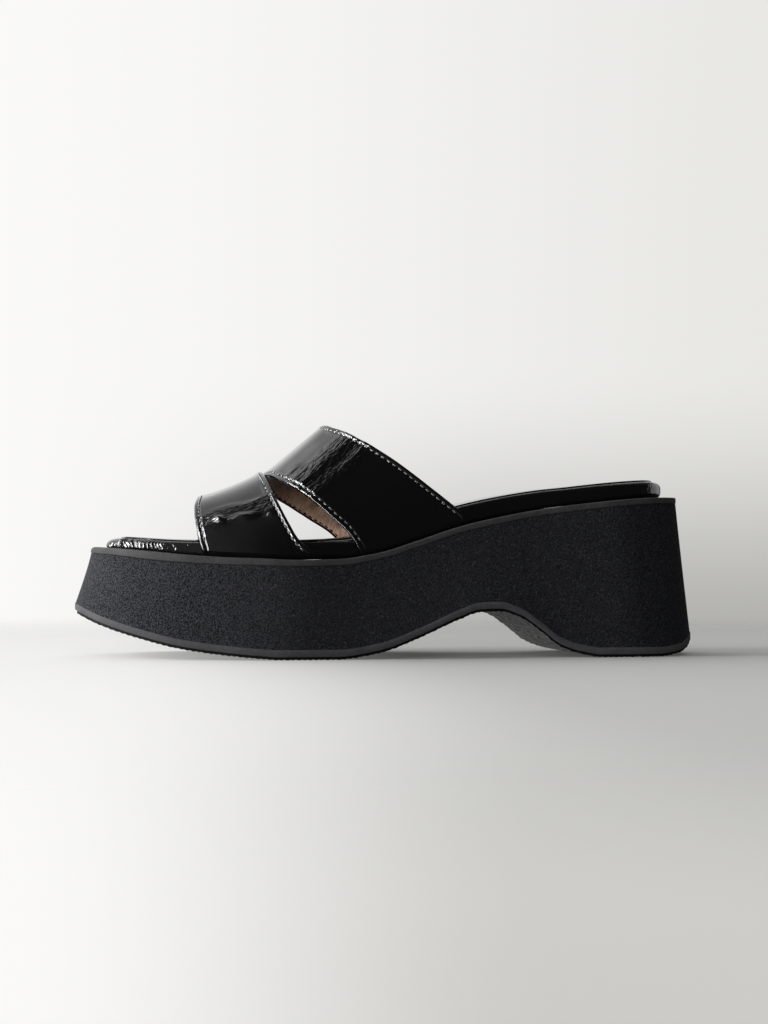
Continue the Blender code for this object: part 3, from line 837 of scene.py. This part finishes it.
def build_lining(name, band, heel_stop=None):
    start, end = (inside(seam, LINING_INSET + LINING_CLEARANCE) for seam in band)
    if heel_stop is not None:
        end = np.minimum(end, heel_stop)
    share = np.linspace(0.0, 1.0, LINING_COLUMNS + 1)
    x = start[:, None] + (end - start)[:, None] * share[None, :]
    angle = np.repeat(ANGLE[:, None], x.shape[1], axis=1)
    middle, normal = foot_form(x, angle, TUCK), form_normal(x, angle)
    worn = LINING_WAVE * np.sin(x / 4.7 + angle / 9.0) * np.sin(angle / 14.0 + x / 11.0)
    from_start, from_end = x - start[:, None], end[:, None] - x
    round_off = np.exp(-from_start / LINING_ROUND_REACH) + np.exp(-from_end / LINING_ROUND_REACH)
    face = middle + normal * (LINING_FACE + worn + LINING_ROUND * round_off)[..., None]
    back = middle + normal * LINING_BACK
    drop = np.abs(angle - 90.0) * ARC_PER_DEGREE
    along, across = x - HAIR_SLOPE * drop, HAIR_SLOPE * x + drop
    # The drop from the ridge also places the painted shade of the lining.
    marks = {"leather_along": along, "leather_across": across, "leather_drop": drop}
    marks = {label: np.tile(values.ravel(), 2) for label, values in marks.items()}
    return make_piece(name, *closed_sheet(face, back), "upper", "band_patent", marks)


front_lining = build_lining("front_lining", front, np.minimum(front.heel.x, rear.toe.x - LINING_STOP))
rear_lining = build_lining("rear_lining", rear)

# %% [markdown]
# ## Stitches
# A row of lockstitches runs two millimetres inside every edge, and shows again on the lining. Each
# stitch is a small spindle of thread, sunk at both ends. All spindles of a band are one mesh. Where
# a band lies under the lap, its stitches are left out.

# %% One row of stitches
SPINDLE = ((0.0, 0.25), (0.12, 0.8), (0.35, 1.0), (0.65, 1.0), (0.88, 0.8), (1.0, 0.25))
THREAD_SIDES, STITCH_SHARE, STITCH_MARGIN = 6, 0.62, 3.0
STITCH_DIP, AHEAD_STEP = 0.3, 0.2


def at_arc(arc, along, values):
    """Point or direction at an arc length along a row."""
    return np.array([np.interp(arc, along, values[:, i]) for i in range(3)])


def stitch_row(seam, height, inset, radius, clear=None):
    """Points and faces of the stitches beside one edge, on the outside or on the lining."""
    x = inside(seam, inset)
    middle, normal = foot_form(x, ANGLE, TUCK), form_normal(x, ANGLE)
    lift = height(x) if callable(height) else height + 0.0 * x
    path = middle + normal * lift[:, None]
    along = stitch_line(seam)
    points, faces = [], []
    first = math.ceil((along[0] + STITCH_MARGIN) / STITCH_PITCH)
    last = math.floor((along[-1] - STITCH_MARGIN) / STITCH_PITCH)
    for k in range(first, last):
        begin = (k + 0.5 - 0.5 * STITCH_SHARE) * STITCH_PITCH
        middle_row = int(np.searchsorted(along, (k + 0.5) * STITCH_PITCH))
        if clear is not None and not clear[middle_row]:
            continue
        base = len(points)
        for share, size in SPINDLE:
            s = begin + share * STITCH_SHARE * STITCH_PITCH
            here, up = at_arc(s, along, path), at_arc(s, along, normal)
            ahead = at_arc(s + AHEAD_STEP, along, path) - here
            ahead /= np.linalg.norm(ahead)
            side = np.cross(ahead, up)
            dip = (size - 1.0) * STITCH_DIP * math.copysign(1.0, lift[0])
            for j in range(THREAD_SIDES):
                a = 2.0 * math.pi * j / THREAD_SIDES
                points.append(here + radius * size * (math.cos(a) * side + math.sin(a) * up) + up * dip)
        for r in range(len(SPINDLE) - 1):
            for j in range(THREAD_SIDES):
                a, b = base + r * THREAD_SIDES + j, base + r * THREAD_SIDES + (j + 1) % THREAD_SIDES
                faces.append((a, b, b + THREAD_SIDES, a + THREAD_SIDES))
        end = base + (len(SPINDLE) - 1) * THREAD_SIDES
        faces.append(tuple(range(base + THREAD_SIDES - 1, base - 1, -1)))
        faces.append(tuple(range(end, end + THREAD_SIDES)))
    return points, faces


def stitch_piece(name, rows):
    """All stitches of several rows as one piece."""
    points, faces = [], []
    for row_points, row_faces in rows:
        faces += [tuple(i + len(points) for i in face) for face in row_faces]
        points += row_points
    return make_piece(name, np.array(points), faces, "upper", "band_patent")


# %% Stitches of the bands and the lining
THREAD_RADIUS, LINING_THREAD, LINING_STITCH, LAP_FREE = 0.32, 0.28, 1.5, 1.5
OUTSIDE = 0.5 * WALL - 0.06
INSIDE = -0.5 * WALL - 0.02


def front_lap_height(x):
    share = np.clip((x - front.toe.x) / (front.heel.x - front.toe.x), 0.0, 1.0)
    return OUTSIDE + lap_lift(ANGLE, share)


free_of_lap = rear.toe.x > front.heel.x + LAP_FREE
front_stitches = stitch_piece("front_stitches", [
    stitch_row(front.toe, front_lap_height, STITCH_INSET, THREAD_RADIUS),
    stitch_row(front.heel, front_lap_height, STITCH_INSET, THREAD_RADIUS),
])
rear_stitches = stitch_piece("rear_stitches", [
    stitch_row(rear.toe, OUTSIDE, STITCH_INSET, THREAD_RADIUS, free_of_lap),
    stitch_row(rear.heel, OUTSIDE, STITCH_INSET, THREAD_RADIUS),
])
lining_stitches = stitch_piece("lining_stitches", [
    stitch_row(front.toe, INSIDE, LINING_STITCH, LINING_THREAD),
    stitch_row(front.heel, INSIDE, LINING_STITCH, LINING_THREAD, free_of_lap),
    stitch_row(rear.toe, INSIDE, LINING_STITCH, LINING_THREAD),
    stitch_row(rear.heel, INSIDE, LINING_STITCH, LINING_THREAD),
])

# %% [markdown]
# ## Shader maths
# Finishes are written as sums. A small class wraps a socket, so that adding or multiplying two of
# them adds a Math node. Every other node comes from one method that takes its type, its settings
# and its inputs. A finish then reads like a recipe, and the node tree follows from it.

# %% Sockets in expressions
class Wire:
    """A socket that takes part in Python expressions."""

    def __init__(self, sheet, socket):
        self.sheet, self.socket = sheet, socket

    def maths(self, operation, first, second):
        return self.sheet.node("ShaderNodeMath", {"operation": operation}, {0: first, 1: second})

    def __add__(self, other):
        return self.maths("ADD", self, other)

    def __radd__(self, other):
        return self.maths("ADD", other, self)

    def __sub__(self, other):
        return self.maths("SUBTRACT", self, other)

    def __rsub__(self, other):
        return self.maths("SUBTRACT", other, self)

    def __mul__(self, other):
        return self.maths("MULTIPLY", self, other)

    def __rmul__(self, other):
        return self.maths("MULTIPLY", other, self)


# %% Node tree filled by expressions
class Sheet:
    """A node tree that is filled by expressions."""

    def __init__(self, tree):
        self.tree = tree

    def node(self, kind, settings=None, inputs=None, output=0):
        made = self.tree.nodes.new(kind)
        for name, value in (settings or {}).items():
            setattr(made, name, value)
        for name, value in (inputs or {}).items():
            self.feed(made.inputs[name], value)
        return Wire(self, made.outputs[output])

    def feed(self, socket, value):
        """Link a wire to a socket, or set a constant on it."""
        if isinstance(value, Wire):
            self.tree.links.new(value.socket, socket)
        else:
            socket.default_value = value

    def step(self, value, low, high):
        """Smooth rise from 0 to 1 between two values."""
        names = {"Value": value, "From Min": low, "From Max": high}
        return self.node("ShaderNodeMapRange", {"interpolation_type": "SMOOTHSTEP"}, names)

    def blend(self, share, first, second):
        """Mix of two colours."""
        return self.node("ShaderNodeMix", {"data_type": "RGBA"}, {0: share, 6: first, 7: second}, 2)

    def vector(self, operation, first, second):
        return self.node("ShaderNodeVectorMath", {"operation": operation}, {0: first, 1: second})

    def place(self, stretch=(1.0, 1.0, 1.0)):
        """Place on the shoe in millimetres, stretched along its axes."""
        spot = self.node("ShaderNodeTexCoord", output="Object")
        return self.vector("MULTIPLY", spot, tuple(s / MM for s in stretch))

    def axes(self, spot):
        """X, Y and Z of a place or direction."""
        split = self.node("ShaderNodeSeparateXYZ", None, {0: spot}).socket.node
        return [Wire(self, output) for output in split.outputs]

    def grain(self, spot, size, detail=2.0, rough=0.5):
        """Soft noise from 0 to 1 with lumps of that many millimetres."""
        names = {"Vector": spot, "Scale": 1.0 / size, "Detail": detail, "Roughness": rough}
        return self.node("ShaderNodeTexNoise", {"noise_dimensions": "3D"}, names)

    def cells(self, spot, size, feature):
        names = {"Vector": spot, "Scale": 1.0 / size}
        return self.node("ShaderNodeTexVoronoi", {"feature": feature}, names)

    def mark(self, name):
        """Value that the points of a piece carry."""
        return self.node("ShaderNodeAttribute", {"attribute_name": name}, output="Fac")


# %% Finish of a piece
class Finish(Sheet):
    """A Principled material: constants are set on its sockets, wires are linked."""

    def __init__(self, name):
        self.material = bpy.data.materials.new(name)
        self.material.use_nodes = True
        super().__init__(self.material.node_tree)
        self.shader = self.tree.nodes["Principled BSDF"]

    def set(self, **values):
        for name, value in values.items():
            self.feed(self.shader.inputs[name.replace("_", " ").title().replace("Ior", "IOR")], value)
        return self

    def raise_by(self, height, depth_mm):
        """Bump from a height between 0 and 1."""
        return self.set(normal=self.node("ShaderNodeBump", None, {
            "Height": height, "Distance": depth_mm * MM, "Strength": 1.0}))

    def on(self, *pieces):
        for piece in pieces:
            piece.data.materials.clear()
            piece.data.materials.append(self.material)
        print("finish", self.material.name, "on", ", ".join(piece.name for piece in pieces))


def paint(red, green, blue):
    return (red, green, blue, 1.0)


# %% [markdown]
# ## Patent leather
# Patent is black leather under a thick glossy film. Where it bends from the side to the top of the
# foot the film has wrinkled into a net of fine folds along the bend, so reflections break up there,
# and elsewhere it is almost a mirror. The net is a Voronoi pattern bent by noise and drawn out along
# the bend. Each point of a band carries its place on the leather and its share of the wrinkles. On
# the footbed the folds come and go in large blotches.

# %% Patent finish
PATENT_BLACK, PATENT_IOR, SMEAR_SIZE, SMEAR = paint(0.0045, 0.0045, 0.0048), 1.52, 6.0, 0.05
FOLD_SHARE, FINE_SHARE, SWELL_SHARE = 0.3, 1.3, 0.5
FOLD_WIDTH, BEND_SIZE, BEND_PUSH, FINE_SIZE, LUMP_SIZE = 0.35, 2.4, 1.6, 0.9, 2.2


def patent(name, spot_of, share_of, cell_mm, depth_mm, roughness):
    """Patent with folds of a size and depth; two functions give the place and the share of folds."""
    finish = Finish(name)
    spot, share = spot_of(finish), share_of(finish)
    names = {"Vector": spot, "Scale": 1.0 / (BEND_SIZE * cell_mm), "Detail": 2.0}
    wander = finish.node("ShaderNodeTexNoise", None, names, "Color")
    scaled = {0: wander, "Scale": BEND_PUSH * cell_mm}
    push = finish.node("ShaderNodeVectorMath", {"operation": "SCALE"}, scaled)
    bent = finish.vector("ADD", spot, push)
    folds = finish.step(finish.cells(bent, cell_mm, "DISTANCE_TO_EDGE"), 0.0, FOLD_WIDTH)
    fine = finish.grain(bent, FINE_SIZE * cell_mm, 1.0)
    swell = finish.grain(spot, LUMP_SIZE * cell_mm, 1.0)
    finish.raise_by((folds * FOLD_SHARE + fine * FINE_SHARE + swell * SWELL_SHARE) * share, depth_mm)
    smear = finish.grain(finish.place(), SMEAR_SIZE, 3.0)
    return finish.set(
        base_color=PATENT_BLACK, roughness=roughness + SMEAR * smear,
        ior=PATENT_IOR, coat_weight=0.15, coat_roughness=0.05,
    )


def leather_place(finish):
    """Place on the band, drawn out along the bend."""
    along, across = finish.mark("leather_along"), finish.mark("leather_across")
    return finish.node("ShaderNodeCombineXYZ", None, {0: along, 1: across})


def bend_share(finish):
    return 0.05 + 0.95 * finish.mark("crinkle")


def blotches(least, size):
    """Function for a share of folds that comes and goes over a size, never below the least."""
    return lambda f: least + (1.0 - least) * f.step(f.grain(f.place(), size, 1.0), 0.3, 0.7)


patent("band_patent", leather_place, bend_share, 1.6, 0.46, 0.05).on(front_band, rear_band)
patent("footbed_patent", Sheet.place, blotches(0.4, 11.0), 1.6, 0.15, 0.05).on(footbed)
patent("sheet_patent", Sheet.place, blotches(0.3, 14.0), 2.0, 0.05, 0.12).on(footbed_sheet)

# %% [markdown]
# ## Lining and thread
# The lining is a brown leather with a fine slanting grain and soft clouds, paler on high spots, and
# with a painted shade that darkens it up toward the ridge of the foot. The thread on the outside is
# painted grey, a painted highlight for the glints on its stitches, and the thread on the lining is
# black. Both are waxed, so they keep a small shine, and a wave makes their twist.

# %% Lining finish
LINING_DARK, LINING_PALE = paint(0.20, 0.122, 0.084), paint(0.60, 0.415, 0.315)
# Colour, least share of the own tone, and reach of the painted shade up toward the ridge of the lining.
LINING_PAINTED_SHADE, OWN_TONE_IN_PAINTED_SHADE, PAINTED_SHADE_END, PAINTED_SHADE_FADE = paint(0.068, 0.027, 0.011), 0.44, 50.0, 61.0
HAIR_SIZE, HAIR_STRETCH, CLOUD_SIZE, PORE_SIZE = 0.9, 0.12, 7.0, 0.55

lining = Finish("brown_lining")
along, across = lining.mark("leather_along"), lining.mark("leather_across")
hair_place = lining.node("ShaderNodeCombineXYZ", None, {0: along * HAIR_STRETCH, 1: across})
hatch = lining.grain(hair_place, HAIR_SIZE, 1.0)
cloud = lining.grain(lining.place(), CLOUD_SIZE, 3.0)
pore = lining.cells(lining.place(), PORE_SIZE, "F1")
tone = lining.blend(lining.step(hatch * 0.65 + cloud * 0.35, 0.32, 0.68), LINING_DARK, LINING_PALE)
# Painted shade: darker up toward the ridge, fading out lower down the lining.
lower = lining.step(lining.mark("leather_drop"), PAINTED_SHADE_END, PAINTED_SHADE_FADE)
tone = lining.blend(OWN_TONE_IN_PAINTED_SHADE + (1.0 - OWN_TONE_IN_PAINTED_SHADE) * lower, LINING_PAINTED_SHADE, tone)
lining.set(base_color=tone, roughness=0.5 + 0.2 * cloud)
lining.raise_by(hatch * 0.7 + pore * 0.3, 0.10)
lining.on(front_lining, rear_lining)

# %% Thread finish
for name, tone, pieces in (
    # Painted highlight: the outside thread is painted grey to stand in for the glints on its stitches.
    ("top_thread_painted_highlight", paint(0.36, 0.36, 0.365), (front_stitches, rear_stitches)),
    ("lining_thread", paint(0.012, 0.011, 0.011), (lining_stitches,)),
):
    thread = Finish(name)
    names = {"Vector": thread.place(), "Scale": 1.1, "Distortion": 0.4}
    twist = thread.node("ShaderNodeTexWave", {"bands_direction": "DIAGONAL"}, names)
    shaded = thread.blend(0.75 + 0.25 * twist, paint(0.0, 0.0, 0.0), tone)
    thread.set(base_color=shaded, roughness=0.18 + 0.1 * twist)
    thread.raise_by(twist, 0.06)
    thread.on(*pieces)

# %% [markdown]
# ## Foam and rubber
# The foam wall looks like fine black sandpaper with a cold tint: two noises of different size make
# the grains, and single pale grains stand out. Toward the toe the light rakes along the wall, so
# there the hollows are darker and the grains paler. The welt and the outsole band are cut from grey
# rubber sheet, smooth with faint streaks along their length. The tread is rougher and darker.

# %% Foam finish
SAND_SIZE, LUMP, FLECK_SIZE, FOAM_DEPTH = 0.56, 2.6, 0.7, 0.5
HOLLOW, RAKED_HOLLOW = paint(0.010, 0.0103, 0.012), paint(0.0005, 0.0005, 0.0006)
RAISED, RAKED_RAISED = paint(0.0385, 0.0398, 0.0465), paint(0.057, 0.0585, 0.0675)
FLECK = paint(0.10, 0.103, 0.112)

foam = Finish("foam_wall")
spot = foam.place()
sand = foam.grain(spot, SAND_SIZE, 1.0)
grains = sand * 0.9 + foam.grain(spot, LUMP, 2.0) * 0.1
flecks = foam.step(foam.grain(spot, FLECK_SIZE, 0.0), 0.66, 0.76)
raking = 1.0 - foam.step(foam.axes(spot)[0], -110.0, -30.0)
hollow, raised = foam.blend(raking, HOLLOW, RAKED_HOLLOW), foam.blend(raking, RAISED, RAKED_RAISED)
tone = foam.blend(flecks * 0.5, foam.blend(foam.step(grains, 0.38, 0.62), hollow, raised), FLECK)
foam.set(base_color=tone, roughness=0.78 + 0.15 * sand, specular_ior_level=0.3)
foam.raise_by(grains, FOAM_DEPTH)
foam.on(platform)

# %% Rubber finish
STREAKS, EVEN_ACROSS, RUBBER_CLOUD = (0.35, 1.0, 1.0), (1.0, 0.4, 1.0), 9.0
WELT_TONES = paint(0.048, 0.048, 0.048), paint(0.088, 0.088, 0.087)
OUTSOLE_TONES = paint(0.070, 0.070, 0.075), paint(0.115, 0.116, 0.122)
TREAD_TONES = paint(0.003, 0.003, 0.003), paint(0.14, 0.14, 0.135)
# Painted shade for the tread's edge rows, which carry the rim mark.
TREAD_RIM_SHADE = paint(0.004, 0.004, 0.004)


def rubber(name, tones, grain_mm, depth_mm, roughness, stretch=STREAKS, cloudy=0.4, rim=None):
    """Grey sheet rubber; a painted shade tone can be given for points that carry the rim mark."""
    finish = Finish(name)
    fine = finish.grain(finish.place(stretch), grain_mm, 3.0, 0.6)
    cloud = finish.grain(finish.place(), RUBBER_CLOUD, 2.0)
    tone = finish.blend(finish.step(fine * (1.0 - cloudy) + cloud * cloudy, 0.3, 0.7), *tones)
    if rim is not None:
        tone = finish.blend(finish.mark("rim"), tone, rim)
    finish.set(base_color=tone, roughness=roughness + 0.15 * fine, specular_ior_level=0.3)
    return finish.raise_by(fine, depth_mm)


rubber("welt_rubber", WELT_TONES, 0.6, 0.05, 0.55).on(welt)
rubber("outsole_rubber", OUTSOLE_TONES, 0.6, 0.06, 0.60).on(outsole)
rubber("tread_rubber", TREAD_TONES, 1.6, 0.40, 0.70, EVEN_ACROSS, 0.12, TREAD_RIM_SHADE).on(tread)

# %% [markdown]
# ## Floor and sky
# Black patent shows what stands round it. The far side is bright and the near side is dark, so the
# ridge of the bands turns grey while their side stays black. The world is therefore bright behind
# the shoe and dark in front, a little dimmer overhead and brighter toward the toe. The camera sees
# its own tones instead: a pale backdrop with painted shade toward the heel side, deepest near the
# horizon there. The floor is a pale disc that fades out, so no horizon line shows. It also glows
# with painted light, brighter on the toe side and with a painted shade toward the heel.

# %% Floor
FLOOR_RADIUS, FLOOR_SIDES, FLOOR_FADE = 1.3, 96, (0.20, 0.75)
FLOOR_TONE = paint(0.64, 0.637, 0.626)
TOE_SHINE, HEEL_SHADE = paint(0.39, 0.388, 0.38), paint(0.05, 0.05, 0.048)
angle = np.linspace(0.0, 2.0 * math.pi, FLOOR_SIDES + 1)[:-1]
floor_mesh = bpy.data.meshes.new("floor")
ring = np.stack([np.cos(angle), np.sin(angle), 0.0 * angle], axis=1) * FLOOR_RADIUS
floor_mesh.from_pydata(ring.tolist(), [], [tuple(range(len(ring)))])
floor = bpy.data.objects.new("floor", floor_mesh)
bpy.context.scene.collection.objects.link(floor)

pale = Finish("pale_floor")
spot = pale.node("ShaderNodeTexCoord", output="Object")
reach = pale.node("ShaderNodeVectorMath", {"operation": "LENGTH"}, {0: spot}, "Value")
clear = pale.node("ShaderNodeBsdfTransparent")
solid = Wire(pale, pale.shader.outputs[0])
faded = pale.node("ShaderNodeMixShader", None, {0: pale.step(reach, *FLOOR_FADE), 1: solid, 2: clear})
# Painted light: the floor glows brighter on the toe side and falls to a painted shade toward the heel.
glow = pale.blend(pale.step(pale.axes(spot)[0], -0.13, 0.02), TOE_SHINE, HEEL_SHADE)
pale.set(base_color=FLOOR_TONE, roughness=0.8, specular_ior_level=0.0)
pale.set(emission_color=glow, emission_strength=1.0)
pale.feed(pale.tree.nodes["Material Output"].inputs["Surface"], faded)
pale.on(floor)
floor.visible_glossy = floor.visible_diffuse = floor.visible_shadow = False

# %% World
BACK_GLOW, FRONT_GLOW, TOE_GLOW, HEEL_DIM = 1.14, 0.04, 0.22, 0.92
OVERHEAD_DIM, TOE_LIFT, HORIZON_SHARE = 0.3, 0.7, 0.6
# Backdrop tones: pale, with painted shade on the heel side that is deepest near the horizon.
BRIGHT, PAINTED_SHADE_UPPER_HEEL = paint(0.955, 0.95, 0.94), paint(0.79, 0.785, 0.76)
PAINTED_SHADE_LOW_HEEL, PAINTED_SHADE_HORIZON_HEEL = paint(0.60, 0.595, 0.57), paint(0.42, 0.417, 0.40)

world = bpy.data.worlds.new("studio")
world.use_nodes = True
bpy.context.scene.world = world
sky = Sheet(world.node_tree)
way_x, way_y, way_z = sky.axes(sky.node("ShaderNodeTexCoord", output="Generated"))
shade = 1.0 - HEEL_DIM * sky.step(way_x, 0.15, 0.70)
low_sky = HORIZON_SHARE + (1.0 - HORIZON_SHARE) * sky.step(way_z, 0.02, 0.30)
near_toe = FRONT_GLOW + TOE_GLOW * (1.0 - sky.step(way_x, -0.50, -0.20))
overhead, toe_side = sky.step(way_z, 0.3, 0.7), 1.0 - sky.step(way_x, -0.42, -0.28)
back = BACK_GLOW * (1.0 + overhead * (TOE_LIFT * toe_side - OVERHEAD_DIM))
glow = near_toe + (back - near_toe) * sky.step(way_y, 0.18, 0.225) * shade * low_sky
# The camera's own backdrop: pale, with painted shade toward the heel side and near the horizon there.
upper = sky.blend(sky.step(way_x, -0.08, 0.40), BRIGHT, PAINTED_SHADE_UPPER_HEEL)
dim = sky.blend(sky.step(way_z, -0.17, -0.04), PAINTED_SHADE_LOW_HEEL, PAINTED_SHADE_HORIZON_HEEL)
lower = sky.blend(sky.step(way_x, -0.05, 0.22), BRIGHT, dim)
seen = sky.blend(sky.step(way_z, -0.05, 0.10), lower, upper)
eye = sky.node("ShaderNodeLightPath", output="Is Camera Ray")
background = world.node_tree.nodes["Background"]
sky.feed(background.inputs["Color"], sky.blend(eye, paint(1.0, 1.0, 1.0), seen))
sky.feed(background.inputs["Strength"], eye + (1.0 - eye) * glow)
print("sky is", round(BACK_GLOW / FRONT_GLOW), "times brighter behind the shoe than in front")

# %% [markdown]
# ## Lamps
# One soft window at the toe and a weak fill light the shoe. The footbed's top sheet is left out of
# the window's light, because a flat mirror would turn white. The other lamps only add what patent
# needs: each shine lamp shows in the gloss of the pieces it is linked to and lights nothing else,
# and one lamp brings up the brown of the linings.

# %% Lamps
Lamp = namedtuple("Lamp", "name place aim width height energy glossy diffuse lights")
FRONT, REAR = (front_band, front_stitches), (rear_band, rear_stitches)
LINED = (front_lining, rear_lining)
ALL_BUT_SHEET = FRONT + REAR + LINED + (outsole, tread, platform, welt, footbed, floor)
SHINY = FRONT + REAR + (footbed,)
LAMPS = (
    Lamp("window", (-1.22, -0.17, 0.30), (-0.05, 0.0, 0.04), 0.45, 1.2, 17.5, True, True, ALL_BUT_SHEET),
    Lamp("window_shine", (-1.22, -0.17, 0.30), (-0.05, 0.0, 0.04), 0.9, 1.1, 70.0, True, False, FRONT),
    Lamp("spot_shine", (-0.93, -0.47, 0.77), (-0.07, -0.03, 0.06), 0.35, 0.35, 10.0, True, False, FRONT),
    Lamp("edge_shine", (-1.22, -0.30, 0.30), (-0.03, 0.0, 0.06), 0.8, 1.2, 90.0, True, False, REAR),
    Lamp("toe_shine", (-1.15, -0.25, 0.15), (-0.10, 0.0, 0.04), 0.40, 1.0, 38.0, True, False, (footbed,)),
    Lamp("low_shine", (-1.00, -0.16, -0.65), (-0.04, 0.0, 0.06), 0.7, 0.9, 70.0, True, False, SHINY),
    Lamp("heel_shine", (1.00, 0.46, 0.25), (0.10, 0.0, 0.07), 0.8, 0.6, 1.0, True, False, (footbed,)),
    Lamp("fill", (-0.10, -1.15, 0.50), (0.03, 0.0, 0.06), 0.6, 0.6, 2.9, False, True, ()),
    Lamp("lining_lamp", (-0.24, -1.05, 0.20), (-0.03, 0.03, 0.06), 0.35, 0.35, 16.5, False, True, LINED),
)
for lamp in LAMPS:
    data = bpy.data.lights.new(lamp.name, "AREA")
    data.shape, data.size, data.size_y, data.energy = "RECTANGLE", lamp.width, lamp.height, lamp.energy
    light = bpy.data.objects.new(lamp.name, data)
    turn = (Vector(lamp.aim) - Vector(lamp.place)).to_track_quat("-Z", "Y")
    light.matrix_world = Matrix.Translation(lamp.place) @ turn.to_matrix().to_4x4()
    light.visible_glossy, light.visible_diffuse = lamp.glossy, lamp.diffuse
    bpy.context.scene.collection.objects.link(light)
    if lamp.lights:
        group = bpy.data.collections.new(lamp.name)
        for piece in lamp.lights:
            group.objects.link(piece)
        light.light_linking.receiver_collection = group
    print(lamp.name, "stands", round(Vector(lamp.place).length, 2), "m from the shoe")
bpy.context.scene.view_settings.view_transform = "Standard"
